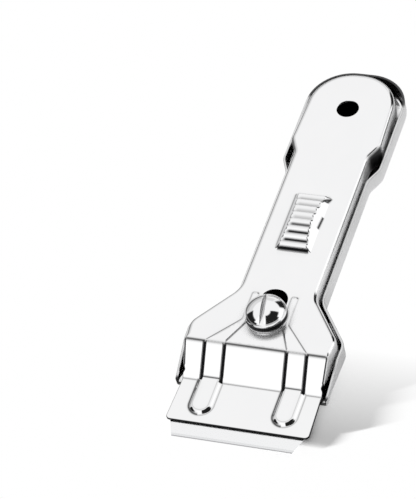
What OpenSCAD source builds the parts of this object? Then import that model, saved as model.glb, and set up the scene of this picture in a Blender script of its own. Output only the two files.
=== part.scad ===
/* [Sheet] */
// Thickness of the pressed steel sheet
sheet = 0.7; // [0.5:0.05:0.9]
// Outer radius of the two folds across the ramp
fold_r = 1; // [0.95:0.05:1.5]

/* [Cover] */
// Length of the sliding cover from its front fold to its tail
cover_len = 109; // [104:0.5:120]
// Depth of the cover's side walls below its face
skirt = 6.5; // [5:0.1:7]
// Width over the cover's front shoulders
shoulder_w = 44.4; // [43:0.1:47]
// Distance of the shoulders behind the front fold
shoulder_y = 6.9; // [6:0.1:9]
// Corner radius of the shoulders
shoulder_r = 5; // [3:0.1:7]
// Width of the cover at its waist
waist_w = 23.2; // [21:0.1:25]
// Distance of the front end of the waist behind the fold
waist_y = 21.1; // [19:0.1:25]
// Radius of the hollow curve between shoulders and waist
waist_r = 8; // [5:0.1:12]
// Width of the bulb at the rear of the cover
bulb_w = 28.2; // [27:0.1:31]
// Length of the cover behind its waist
bulb_len = 33.6; // [32:0.1:36]
// Length over which the waist widens into the bulb
bulb_run = 5.2; // [4.5:0.1:7]
// Radius of the curves where the waist widens into the bulb
bulb_r = 5; // [3:0.1:6]
// Width of the cover at the start of its round tail
tail_w = 26; // [25:0.1:27]
// Radius of the round tail
tail_r = 12.7; // [11:0.1:12.7]

/* [Ramp and lip] */
// Height that the ramp drops from the face to the lip
drop = 8.2; // [7.5:0.1:9.5]
// Length of the ramp along the handle
ramp_run = 8.2; // [7.5:0.1:9]
// Width of the ramp at its foot
ramp_w = 41.8; // [41:0.1:42.5]
// Length of the flat lip in front of the ramp
lip_len = 14.7; // [14:0.1:17]
// Width of the lip at its front edge
lip_w = 42.8; // [42:0.1:44]
// Radius of the lip's front corners
lip_r = 1.3; // [0.5:0.1:3]
// Distance of each pressed bead from the middle of the lip
bead_x = 12.5; // [10:0.1:14]
// Width of each bead at its foot
bead_w = 7.9; // [7:0.1:8.5]
// Width of each bead's flat top
bead_top_w = 4.8; // [4.5:0.1:5.5]
// Height of each bead above the lip
bead_h = 0.9; // [0.7:0.05:1.1]
// Distance of the beads from the lip's front edge
bead_edge = 2.4; // [1.5:0.1:3]
// Width of each groove that frames a bead on the ramp
groove_w = 0.9; // [0.5:0.1:1.2]
// Depth of these grooves
groove_deep = 0.25; // [0.1:0.05:0.35]

/* [Stiffening darts] */
// Width over the outer edges of the darts at the fold
dart_wide = 30.6; // [29:0.1:32]
// Width between the inner edges of the darts at the fold
dart_inner = 18.6; // [17:0.1:20]
// Width of each dart beside the slot
dart_w = 1.1; // [0.8:0.1:1.5]
// Distance behind the fold at which the darts turn along the slot
dart_turn = 9.4; // [8:0.1:10.5]
// Distance of the darts' rear tips behind the fold
dart_end = 19.8; // [18:0.1:22]
// Height of the darts above the face
dart_h = 0.25; // [0.1:0.05:0.3]

/* [Thumb grip] */
// Distance of the grip's front edge behind the fold
grip_y = 36.5; // [32:0.5:45]
// Length of the grip along the handle
grip_len = 21.7; // [18:0.1:25]
// Width of the grip at its foot
grip_w = 11; // [10:0.1:13]
// Height of the arched grip above the face
grip_rise = 2.6; // [2:0.1:3]
// Width of the grip across its crown
grip_crown_w = 7; // [6:0.1:8]
// Number of cross ribs on the grip
grip_ribs = 8; // [5:1:10]
// Radius of each cross rib
rib_r = 0.7; // [0.5:0.05:0.8]
// Height of each cross rib above the arch
rib_h = 0.35; // [0.2:0.05:0.45]

/* [Clamp screw and bush] */
// Distance of the screw behind the fold with the blade out
screw_y = 11.2; // [11:0.1:13]
// Travel of the cover from blade out to blade covered
travel = 5.6; // [5.3:0.1:6]
// Length by which the slot runs on behind the screw at the end of the travel
slot_spare = 0.9; // [0.2:0.1:1.2]
// Width of the slot in the cover
slot_w = 8.2; // [7.6:0.1:8.8]
// Diameter of the screw head
head_d = 12.3; // [11.6:0.1:13]
// Height of the upright brim under the head's dome
head_brim = 3; // [2.2:0.1:3.6]
// Height of the screw head
head_h = 6.1; // [5.4:0.1:7]
// Width of the driver slot
driver_w = 1.3; // [0.8:0.1:1.6]
// Depth of the driver slot
driver_deep = 2.7; // [1.5:0.1:3]
// Angle between the driver slot and the handle
driver_turn = 7; // [0:1:90]
// Diameter of the screw's shank
shank_d = 4.9; // [4:0.1:5.5]
// Outer diameter of the threaded bush
bush_d = 11; // [10:0.1:12]
// Diameter of the bush's riveted foot
bush_foot_d = 7.4; // [6.5:0.1:8]

/* [Base] */
// Height of the base's side walls
rim_h = 6; // [5:0.1:7]
// Side gap between the cover's walls and the base's walls
wall_gap = 0.6; // [0.5:0.05:0.8]
// Gap at the shoulders between cover and base, along the handle
flare_gap = 1.4; // [1:0.1:2]
// Gap that is left at the waist when the cover is fully forward
stop_gap = 0.3; // [0.2:0.05:0.8]
// Gap between the tail of the cover and the base's rear wall
tail_gap = 2.8; // [2.2:0.1:5]
// Radius of the rounded rear corners of the base
base_tail_r = 13; // [11.5:0.1:14]
// Width of the base at the front ends of its side walls
horn_w = 45.6; // [45.4:0.1:46.4]
// Distance of the side walls' front ends ahead of the fold
horn_y = 9.6; // [9:0.1:11]
// Height of the side walls at their front ends
horn_h = 1.9; // [1.5:0.1:3]
// Distance behind the fold at which the walls begin to fall
horn_start = 3; // [1:0.1:5]
// Width of the platform under the blade
platform_w = 40; // [38:0.1:41]
// Distance of the platform's edge behind the lip's edge
platform_edge = 2; // [1:0.1:4]
// Radius of the platform's front corners
platform_r = 2; // [1:0.1:4]
// Diameter of the hanging hole
hole_d = 6.7; // [5:0.1:8]
// Distance of the hanging hole ahead of the cover's tail
hole_back = 15; // [13:0.5:20]

/* [Razor blade] */
// Width of the blade
blade_w = 39.8; // [38:0.1:41]
// Width of the blade along its cutting edge
blade_edge_w = 35.8; // [34:0.1:38]
// Depth of the blade from its cutting edge to its back
blade_deep = 18.6; // [18:0.1:19.5]
// Thickness of the blade
blade_t = 0.25; // [0.2:0.01:0.35]
// Distance that the cutting edge stands out in front of the lip
blade_out = 5.1; // [4.5:0.1:5.5]
// Width of the ground bevel behind the cutting edge
bevel = 1; // [0.5:0.1:1.5]
// Distance of the two pegs from the back of the blade
peg_back = 7.8; // [7:0.1:8.5]
// Diameter of the two pegs that hold the blade
peg_d = 3; // [2.5:0.1:3.2]
// Diameter of the pegs' riveted feet
peg_foot_d = 2.2; // [1.8:0.1:2.4]
// Height of the pegs above the blade
peg_up = 0.5; // [0.3:0.05:0.6]

/* [Hidden] */
$fn = 64;
// Running clearance between flat faces that slide on one another
slide_gap = 0.05;
// Radial clearance of a shank or peg in its hole
pin_gap = 0.05;
// Radial clearance of the bush's shoulder in the cover's slot
shoulder_gap = 0.1;
// Gap between the darts and the brim of the screw head that passes them
dart_gap = 0.1;
// Overrun of every cut past the face that it opens
overrun = 1;
// Straight steps in each rounded corner
corner_steps = 8;

// Levels above the underside of the base
blade_z = sheet;
lip_z = blade_z + blade_t + slide_gap;
lip_top = lip_z + sheet;
face_z = lip_top + drop;
bush_top = face_z - sheet - slide_gap;
head_z = face_z + slide_gap;

// Places along the handle, from the front fold
lip_front = -ramp_run - lip_len;
edge_y = lip_front - blade_out;
blade_back = edge_y + blade_deep;
peg_y = blade_back - peg_back;
neck_y = cover_len - bulb_len;
hole_y = cover_len - hole_back;
base_rear = cover_len + tail_gap + sheet;
centre_y = (edge_y + base_rear) / 2;
ramp_angle = atan2(drop, ramp_run);
fold_shift = sheet * tan(ramp_angle / 2);
shoulder_d = slot_w - 2 * shoulder_gap;
wall_step = wall_gap + sheet;

function xy(c) = [c.x, c.y];
function unit(v) = v / norm(v);
function left_of(a, b) = let (d = unit(b - a)) [-d.y, d.x];
function turned(v, t) = [v.x * cos(t) - v.y * sin(t), v.x * sin(t) + v.y * cos(t)];

// Place along the handle at which the ramp's upper face has the height z
function ramp_at(z) = (z - face_z) * ramp_run / drop;

// An arc of radius b.z that touches both sides of the corner b
function corner_arc(a, b, c) = let (
        u = unit(xy(a) - xy(b)),
        w = unit(xy(c) - xy(b)),
        half = acos(u * w) / 2,
        middle = xy(b) + unit(u + w) * b.z / sin(half),
        first = xy(b) + u * b.z / tan(half) - middle,
        last = xy(b) + w * b.z / tan(half) - middle,
        sweep = atan2(cross(first, last), first * last))
    [for (i = [0:corner_steps]) middle + turned(first, sweep * i / corner_steps)];

// A closed outline of corners [x, y, radius], each drawn sharp or as an arc
function rounded(corners) = let (n = len(corners))
    [for (i = [0:n - 1])
        each corners[i].z > 0
            ? corner_arc(corners[(i + n - 1) % n], corners[i], corners[(i + 1) % n])
            : [xy(corners[i])]];

// The same corners with every side moved inwards by d
function inset(corners, d) = let (n = len(corners))
    [for (i = [0:n - 1]) let (
            a = xy(corners[(i + n - 1) % n]),
            b = xy(corners[i]),
            c = xy(corners[(i + 1) % n]),
            p = left_of(a, b),
            q = left_of(b, c),
            bulges = sign(cross(b - a, c - b)),
            at = b + (p + q) * d / (1 + p * q))
        [at.x, at.y, corners[i].z - bulges * d]];

// Corners of the right side, from front to rear, carried round to the left
function both_sides(right) = concat(right,
    [for (i = [len(right) - 1:-1:0]) [-right[i].x, right[i].y, right[i].z]]);

// Plan of the cover's walls, which run on in front of the ramp until it cuts them
cover_plan = both_sides([
    [ramp_w / 2, -ramp_run - fold_r, 0],
    [shoulder_w / 2, shoulder_y, shoulder_r],
    [waist_w / 2, waist_y, waist_r],
    [waist_w / 2, neck_y, bulb_r],
    [bulb_w / 2, neck_y + bulb_run, bulb_r],
    [tail_w / 2, cover_len, tail_r]]);

// Plan of the base's walls, which leave room for the cover over its whole travel
bulb_half = bulb_w / 2 + wall_step;
base_plan = both_sides([
    [horn_w / 2, -horn_y, 0],
    [shoulder_w / 2 + wall_step, shoulder_y + flare_gap, shoulder_r],
    [waist_w / 2 + wall_step, waist_y + flare_gap, waist_r],
    [waist_w / 2 + wall_step, neck_y - travel - stop_gap, bulb_r],
    [bulb_half, neck_y + bulb_run - travel - stop_gap, bulb_r],
    [bulb_half, base_rear, base_tail_r]]);

// A wall block of the given plan between two levels
module block(plan, foot, crown) {
    translate([0, 0, foot])
        linear_extrude(crown - foot)
            polygon(rounded(plan));
}

// A side view in [along, up], extruded across the handle
module across(w) {
    rotate([90, 0, 90])
        linear_extrude(w, center = true)
            children();
}

// The right-hand and the left-hand copy of a piece
module pair() {
    children();
    mirror([1, 0, 0])
        children();
}

// Everything stands with the middle of its length over the origin
module placed() {
    translate([0, -centre_y, 0])
        children();
}

// A long ridge with sloping sides, a round front end and an open rear end
module ridge(foot_w, top_w, h, length) {
    cylinder(h, foot_w / 2, top_w / 2);
    rotate([-90, 0, 0])
        linear_extrude(length)
            polygon([[-foot_w / 2, 0], [foot_w / 2, 0], [top_w / 2, -h], [-top_w / 2, -h]]);
}

// The one sheet that makes the face, folds down the ramp and runs out along the lip
module folded_sheet() {
    intersection() {
        across(2 * shoulder_w)
            polygon(rounded([
                [cover_len + overrun, face_z, 0],
                [0, face_z, fold_r],
                [-ramp_run, lip_top, fold_r - sheet],
                [lip_front, lip_top, 0],
                [lip_front, lip_z, 0],
                [fold_shift - ramp_run, lip_z, fold_r],
                [fold_shift, face_z - sheet, fold_r - sheet],
                [cover_len + overrun, face_z - sheet, 0]]));
        linear_extrude(face_z + overrun)
            union() {
                polygon(rounded(cover_plan));
                polygon(rounded(both_sides([[lip_w / 2, lip_front, lip_r], [ramp_w / 2, -ramp_run, 0]])));
            }
    }
}

// The walls that hang from the folded sheet, all round the handle and down to the ramp
module skirt_walls() {
    intersection() {
        difference() {
            block(cover_plan, face_z - skirt, face_z - sheet);
            block(inset(cover_plan, sheet), face_z - skirt - overrun, face_z);
        }
        across(2 * shoulder_w)
            polygon(rounded([
                [cover_len + overrun, face_z - sheet, 0],
                [fold_shift, face_z - sheet, fold_r - sheet],
                [fold_shift + ramp_at(sheet), 0, 0],
                [cover_len + overrun, 0, 0]]));
    }
}

module lip_bead() {
    translate([bead_x, lip_front + bead_edge + bead_w / 2, lip_top])
        ridge(bead_w, bead_top_w, bead_h, ramp_at(lip_top + bead_h) - lip_front - bead_edge - bead_w / 2);
}

// The hollow under a bead, in which a peg runs
module bead_channel() {
    translate([bead_x, lip_front + bead_edge + bead_w / 2, lip_z])
        ridge(bead_w - sheet, bead_top_w - sheet, bead_h, lip_len - bead_edge - bead_w / 2);
}

// Two grooves that run down the ramp and frame the bead between them
module ramp_grooves() {
    for (w = [dart_wide, dart_inner])
        translate([w / 2, -ramp_run / 2, lip_top + drop / 2])
            rotate([ramp_angle, 0, 0])
                cube([groove_w, norm([ramp_run, drop]) - 2 * fold_r, 2 * groove_deep], center = true);
}

// A shallow raised dart that runs from the fold to a tip beside the slot
module dart() {
    inner = head_d / 2 + dart_gap;
    translate([0, 0, face_z - sheet / 2])
        linear_extrude(sheet / 2 + dart_h)
            polygon(rounded([
                [dart_inner / 2, fold_r, 0],
                [dart_wide / 2, fold_r, 0],
                [inner + dart_w, dart_turn, 0],
                [inner + dart_w, dart_end, dart_w / 3],
                [inner, dart_end, dart_w / 3],
                [inner, dart_turn, 0]]));
}

// An arch along the handle with sloping sides, plain or with ribs across it
module grip(rise, length, foot_w, crown_w, ribs) {
    arch_r = (length * length / 4 + rise * rise) / (2 * rise);
    arch_angle = asin(length / 2 / arch_r);
    crown = rise + rib_h;
    lean = (foot_w - crown_w) / 2 * crown / rise;
    intersection() {
        rotate([90, 0, 0])
            linear_extrude(length + 2 * rib_r, center = true)
                polygon([
                    [-foot_w / 2, 0],
                    [foot_w / 2, 0],
                    [foot_w / 2 - lean, crown],
                    [lean - foot_w / 2, crown]]);
        translate([0, 0, rise - arch_r])
            rotate([0, 90, 0]) {
                cylinder(2 * foot_w, arch_r, arch_r, center = true);
                for (i = [0:1:ribs - 1])
                    rotate([0, 0, 180 + (i / (ribs - 1) * 2 - 1) * arch_angle])
                        translate([arch_r + rib_h - rib_r, 0, 0])
                            cylinder(2 * foot_w, rib_r, rib_r, center = true);
            }
    }
}

// The slot through the cover, from the screw's place to a little past the end of its travel
module cover_slot() {
    slot_len = travel + slot_spare;
    for (y = [screw_y, screw_y + slot_len])
        translate([0, y, face_z - sheet - overrun])
            cylinder(sheet + 2 * overrun, slot_w / 2, slot_w / 2);
    translate([-slot_w / 2, screw_y, face_z - sheet - overrun])
        cube([slot_w, slot_len, sheet + 2 * overrun]);
}

module hanging_hole() {
    translate([0, hole_y, -overrun])
        cylinder(face_z + 2 * overrun, hole_d / 2, hole_d / 2);
}

module base_shell() {
    color("silver")
        placed()
            difference() {
                union() {
                    difference() {
                        block(base_plan, 0, rim_h);
                        block(inset(base_plan, sheet), sheet, rim_h + overrun);
                        translate([sheet - horn_w / 2, -horn_y - overrun, sheet])
                            cube([horn_w - 2 * sheet, sheet + 2 * overrun, rim_h]);
                        across(2 * shoulder_w)
                            polygon([
                                [-horn_y - overrun, horn_h],
                                [-horn_y, horn_h],
                                [horn_start, rim_h],
                                [horn_start, rim_h + overrun],
                                [-horn_y - overrun, rim_h + overrun]]);
                    }
                    block(both_sides([
                        [platform_w / 2, lip_front + platform_edge, platform_r],
                        [platform_w / 2, -horn_y, 0]]), 0, sheet);
                }
                hanging_hole();
                translate([0, screw_y, -overrun])
                    cylinder(sheet + 2 * overrun, bush_foot_d / 2, bush_foot_d / 2);
                pair()
                    translate([bead_x, peg_y, -overrun])
                        cylinder(sheet + 2 * overrun, peg_foot_d / 2, peg_foot_d / 2);
            }
}

module sliding_cover() {
    color("gainsboro")
        placed()
            difference() {
                union() {
                    folded_sheet();
                    skirt_walls();
                    pair() {
                        lip_bead();
                        dart();
                    }
                    translate([0, grip_y + grip_len / 2, face_z])
                        grip(grip_rise, grip_len, grip_w, grip_crown_w, grip_ribs);
                }
                pair() {
                    bead_channel();
                    ramp_grooves();
                }
                translate([0, grip_y + grip_len / 2, face_z - sheet])
                    grip(grip_rise, grip_len - 2 * sheet, grip_w - 2 * sheet, grip_crown_w - 2 * sheet, 0);
                cover_slot();
                hanging_hole();
            }
}

module razor_blade() {
    color("lightsteelblue")
        placed()
            difference() {
                intersection() {
                    across(blade_w)
                        polygon([
                            [edge_y, blade_z + blade_t / 2],
                            [edge_y + bevel, blade_z + blade_t],
                            [blade_back, blade_z + blade_t],
                            [blade_back, blade_z],
                            [edge_y + bevel, blade_z]]);
                    block(both_sides([
                        [blade_edge_w / 2, edge_y, 0],
                        [blade_w / 2, lip_front, 0],
                        [blade_w / 2, blade_back, 0]]), 0, lip_z);
                }
                pair()
                    translate([bead_x, peg_y, 0])
                        cylinder(lip_z, peg_d / 2 + pin_gap, peg_d / 2 + pin_gap);
            }
}

module clamp_screw() {
    dome = head_h - head_brim;
    dome_r = (head_d * head_d / 4 + dome * dome) / (2 * dome);
    color("gainsboro")
        placed()
            translate([0, screw_y, head_z])
                difference() {
                    union() {
                        translate([0, 0, blade_z + sheet - head_z])
                            cylinder(head_z - blade_z - sheet, shank_d / 2, shank_d / 2);
                        cylinder(head_brim, head_d / 2, head_d / 2);
                        translate([0, 0, head_brim])
                            intersection() {
                                cylinder(dome, head_d / 2, head_d / 2);
                                translate([0, 0, dome - dome_r])
                                    sphere(dome_r);
                            }
                    }
                    rotate([0, 0, driver_turn])
                        translate([-driver_w / 2, -head_d, head_h - driver_deep])
                            cube([driver_w, 2 * head_d, driver_deep + overrun]);
                }
}

module threaded_bush() {
    color("darkgray")
        placed()
            translate([0, screw_y, 0])
                difference() {
                    union() {
                        cylinder(sheet, bush_foot_d / 2, bush_foot_d / 2);
                        translate([0, 0, sheet]) {
                            cylinder(bush_top - sheet, bush_d / 2, bush_d / 2);
                            cylinder(face_z - slide_gap - sheet, shoulder_d / 2, shoulder_d / 2);
                        }
                    }
                    translate([0, 0, -overrun])
                        cylinder(face_z + overrun, shank_d / 2 + pin_gap, shank_d / 2 + pin_gap);
                }
}

module blade_pegs() {
    color("darkgray")
        placed()
            pair()
                translate([bead_x, peg_y, 0]) {
                    cylinder(sheet, peg_foot_d / 2, peg_foot_d / 2);
                    translate([0, 0, sheet])
                        cylinder(blade_t + peg_up, peg_d / 2, peg_d / 2);
                }
}

base_shell();
sliding_cover();
razor_blade();
clamp_screw();
threaded_bush();
blade_pegs();
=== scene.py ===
"""Razor blade scraper of pressed chromed sheet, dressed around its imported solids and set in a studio."""

import logging
import math
from dataclasses import dataclass
from enum import Enum
from typing import Any, Callable, Sequence

import bmesh
import bpy
import numpy as np
from mathutils import Matrix, Vector
from mathutils.geometry import delaunay_2d_cdt


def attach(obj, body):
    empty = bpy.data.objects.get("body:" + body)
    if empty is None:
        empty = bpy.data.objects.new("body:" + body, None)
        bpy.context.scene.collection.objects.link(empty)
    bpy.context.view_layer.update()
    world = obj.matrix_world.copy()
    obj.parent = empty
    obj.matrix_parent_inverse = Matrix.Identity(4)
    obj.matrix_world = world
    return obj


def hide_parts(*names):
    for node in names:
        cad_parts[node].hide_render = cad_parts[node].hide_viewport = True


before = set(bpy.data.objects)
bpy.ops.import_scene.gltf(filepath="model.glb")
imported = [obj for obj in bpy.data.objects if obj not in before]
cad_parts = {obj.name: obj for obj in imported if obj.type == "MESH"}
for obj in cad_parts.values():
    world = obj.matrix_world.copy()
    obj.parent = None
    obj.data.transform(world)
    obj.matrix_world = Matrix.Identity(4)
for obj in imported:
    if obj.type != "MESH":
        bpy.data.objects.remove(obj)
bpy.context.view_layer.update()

log = logging.getLogger("scraper")

# Units
MM = 0.001
DEGREES = 180.0 / math.pi

# Mesh attributes that the plating reads
# The bare mark holds both unplated steel on cut edges and painted shade: dark crease lines, dark insides and
# gaps, a dark band on the screw head and dark slot walls.
BARE_AND_SHADE = "bare"
DRAWN = "drawn"

# Distance of grid points from rims in millimetres, angle of sharp edges in degrees, and tolerances
CLEAR = 0.1
SHARP = 42.0
PLAN_EPS = 1e-7
WELD_M = 1e-8

WHITE = (1.0, 1.0, 1.0, 1.0)

Array = np.ndarray
Values = Array | float
Corner = tuple[float, float, float]
Level = Callable[[Array, Array], Array]
Tone = tuple[float, float, float]
Span = tuple[float, float]


class Body(Enum):
    """The bodies of the frame that pieces ride on."""

    BASE = "base"
    COVER = "cover"
    SCREW = "screw"


class Slot(Enum):
    """The record's material slots."""

    BASE = "base_chrome"
    COVER = "cover_chrome"
    SCREW = "screw_chrome"
    BLADE = "blade_steel"
    TURNED = "turned_steel"


@dataclass(frozen=True)
class Layout:
    """Levels and places that several pieces share, in millimetres from the cover's front fold.

    Attributes:
        sheet: Thickness of both pressings.
        face_z: Level of the cover's face.
        lip_top: Level of the cover's lip.
        ramp_run: Length of the ramp along the handle.
        lip_front: Front edge of the lip.
        screw_y: Axis of the screw and its bush.
        hole_y: Middle of the hanging hole.
        hole_d: Diameter of the hanging hole.
        bead_x: Middle of the right bead and of the right peg.
        peg_y: Middle of the pegs.
        blade_z: Level of the blade's underside.
        blade_t: Thickness of the blade.
        edge_y: The cutting edge.
        blade_back: Rear edge of the blade.
        centre_y: The frame's origin.
    """

    sheet: float = 0.7
    face_z: float = 9.9
    lip_top: float = 1.7
    ramp_run: float = 8.2
    lip_front: float = -22.9
    screw_y: float = 11.2
    hole_y: float = 94.0
    hole_d: float = 6.7
    bead_x: float = 12.5
    peg_y: float = -17.2
    blade_z: float = 0.7
    blade_t: float = 0.25
    edge_y: float = -28.0
    blade_back: float = -9.4
    centre_y: float = 42.25

    def to_frame(self, points: Array) -> Array:
        """Turns fold-based millimetres into the frame's metres."""
        return (np.asarray(points, float) - (0.0, self.centre_y, 0.0)) * MM


PLACE = Layout()


# Plane geometry

def smooth(t: Values) -> Array:
    """Eases from 0 to 1 while t goes from 0 to 1."""
    t = np.clip(t, 0.0, 1.0)
    return t * t * (3.0 - 2.0 * t)


def soft_max(a: Array, b: Array, k: float) -> Array:
    """The larger of a and b, with a fillet of size k where they meet."""
    h = np.clip(0.5 + 0.5 * (a - b) / k, 0.0, 1.0)
    return b * (1.0 - h) + a * h + k * h * (1.0 - h)


def soft_min(a: Array, b: Array, k: float) -> Array:
    """The smaller of a and b, with a fillet of size k where they meet."""
    return -soft_max(-a, -b, k)


def line(off: Array, width: float) -> Array:
    """One on a line and nothing beside it, by the distance from the line."""
    return np.exp(-(np.asarray(off, float) / width) ** 2)


def even(value: float) -> Level:
    """A level or a mark that is the same at every point."""
    return lambda x, y: np.full_like(x, value)


def spots(x: Array, y: Array) -> Array:
    """Points in plan, as rows of x and y."""
    return np.stack((x, y), axis=1)


def both_sides(right: Sequence[Corner]) -> list[Corner]:
    """Corners of the right side, from front to rear, carried round to the left."""
    return [*right, *((-x, y, r) for x, y, r in reversed(right))]


def twin(right: Array) -> Array:
    """Points of the right side and their mirror images."""
    return np.concatenate((right, right * (-1.0, 1.0)))


def rounded(corners: Sequence[Corner], steps: int = 14) -> Array:
    """Draws a closed outline with an arc at each corner that has a radius.

    Args:
        corners: Each corner's x, y and radius, anticlockwise.
        steps: Straight steps in each arc.

    Returns:
        The outline's points.
    """
    points: list[Array] = []
    count = len(corners)
    for i, (x, y, radius) in enumerate(corners):
        b = np.array((x, y))
        if radius <= 0.0:
            points.append(b)
            continue
        u = np.array(corners[i - 1][:2]) - b
        w = np.array(corners[(i + 1) % count][:2]) - b
        u, w = u / np.linalg.norm(u), w / np.linalg.norm(w)
        half = math.acos(float(u @ w)) / 2.0
        middle = b + (u + w) / np.linalg.norm(u + w) * radius / math.sin(half)
        first = b + u * radius / math.tan(half) - middle
        last = b + w * radius / math.tan(half) - middle
        turn = math.atan2(first[0] * last[1] - first[1] * last[0], float(first @ last))
        for k in range(steps + 1):
            c, s = math.cos(turn * k / steps), math.sin(turn * k / steps)
            points.append(middle + (first[0] * c - first[1] * s, first[0] * s + first[1] * c))
    return np.array(points)


def resampled(loop: Array, step: Callable[[float], float]) -> Array:
    """Splits the sides of a closed outline until none is longer than its step.

    Args:
        loop: The outline's points.
        step: The longest side that is allowed at a place along the handle.

    Returns:
        The outline with the added points.
    """
    points: list[Array] = []
    for a, b in zip(loop, np.roll(loop, -1, axis=0)):
        stack = [(a, b)]
        while stack:
            p, q = stack.pop()
            if np.linalg.norm(q - p) > step(float(p[1] + q[1]) / 2.0):
                stack += [((p + q) / 2.0, q), (p, (p + q) / 2.0)]
            else:
                points.append(p)
    return np.array(points)


def inward(loop: Array) -> Array:
    """Finds the mitred vectors that point into an outline.

    Args:
        loop: A closed outline, anticlockwise.

    Returns:
        A vector for each of its points, for one millimetre of inset.
    """
    ahead = np.roll(loop, -1, axis=0) - loop
    ahead /= np.linalg.norm(ahead, axis=1)[:, None]
    left = spots(-ahead[:, 1], ahead[:, 0])
    before = np.roll(left, 1, axis=0)
    return (left + before) / (1.0 + np.sum(left * before, axis=1))[:, None]


def inside(points: Array, loop: Array) -> Array:
    """Tells which points lie inside a closed outline.

    Args:
        points: The points in plan.
        loop: The outline.

    Returns:
        True for each point inside.
    """
    x, y = points[:, :1], points[:, 1:2]
    a, b = loop, np.roll(loop, -1, axis=0)
    crosses = (a[:, 1] > y) != (b[:, 1] > y)
    rise = np.where(b[:, 1] == a[:, 1], 1.0, b[:, 1] - a[:, 1])
    at = a[:, 0] + (y - a[:, 1]) * (b[:, 0] - a[:, 0]) / rise
    return np.sum(crosses & (x < at), axis=1) % 2 == 1


def distance(points: Array, loop: Array) -> Array:
    """Gives each point's distance from a closed outline.

    Args:
        points: The points in plan.
        loop: The outline.

    Returns:
        The distances.
    """
    best = np.full(len(points), np.inf)
    for a, b in zip(loop, np.roll(loop, -1, axis=0)):
        d = b - a
        t = np.clip((points - a) @ d / max(float(d @ d), 1e-12), 0.0, 1.0)
        best = np.minimum(best, np.linalg.norm(points - a - t[:, None] * d, axis=1))
    return best


def circle(x: float, y: float, radius: float, steps: int = 64) -> Array:
    """A round outline, anticlockwise."""
    t = np.arange(steps) * 2.0 * math.pi / steps
    return spots(x + radius * np.cos(t), y + radius * np.sin(t))


def stadium(y0: float, y1: float, radius: float, steps: int = 32) -> Array:
    """Draws a slot along the handle with round ends.

    Args:
        y0: Middle of its front end.
        y1: Middle of its rear end.
        radius: Half its width.
        steps: Straight steps in each end.

    Returns:
        The outline, anticlockwise.
    """
    t = np.arange(steps + 1) * math.pi / steps
    rear = spots(radius * np.cos(t), y1 + radius * np.sin(t))
    front = spots(-radius * np.cos(t), y0 - radius * np.sin(t))
    return np.concatenate((rear, front))


def axis(*spans: tuple[float, float, float]) -> Array:
    """Grid places made of spans, each with its start, stop and step."""
    return np.concatenate([np.arange(a, b - 1e-6, step) for a, b, step in spans])


def mirrored(*spans: tuple[float, float, float]) -> Array:
    """Grid places made of spans on both sides of the middle."""
    places = axis(*spans)
    return np.unique(np.round(np.concatenate((-places, places)), 6))


def lattice(xs: Array, ys: Array) -> Array:
    """All the points of a grid."""
    gx, gy = np.meshgrid(xs, ys)
    return spots(gx.ravel(), gy.ravel())


# Meshes

def linked(name: str, data: bpy.types.ID) -> bpy.types.Object:
    """Makes an object in the scene.

    Args:
        name: The object's name.
        data: Its mesh, light or camera.

    Returns:
        The object.
    """
    made = bpy.data.objects.new(name, data)
    bpy.context.scene.collection.objects.link(made)
    return made


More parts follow.
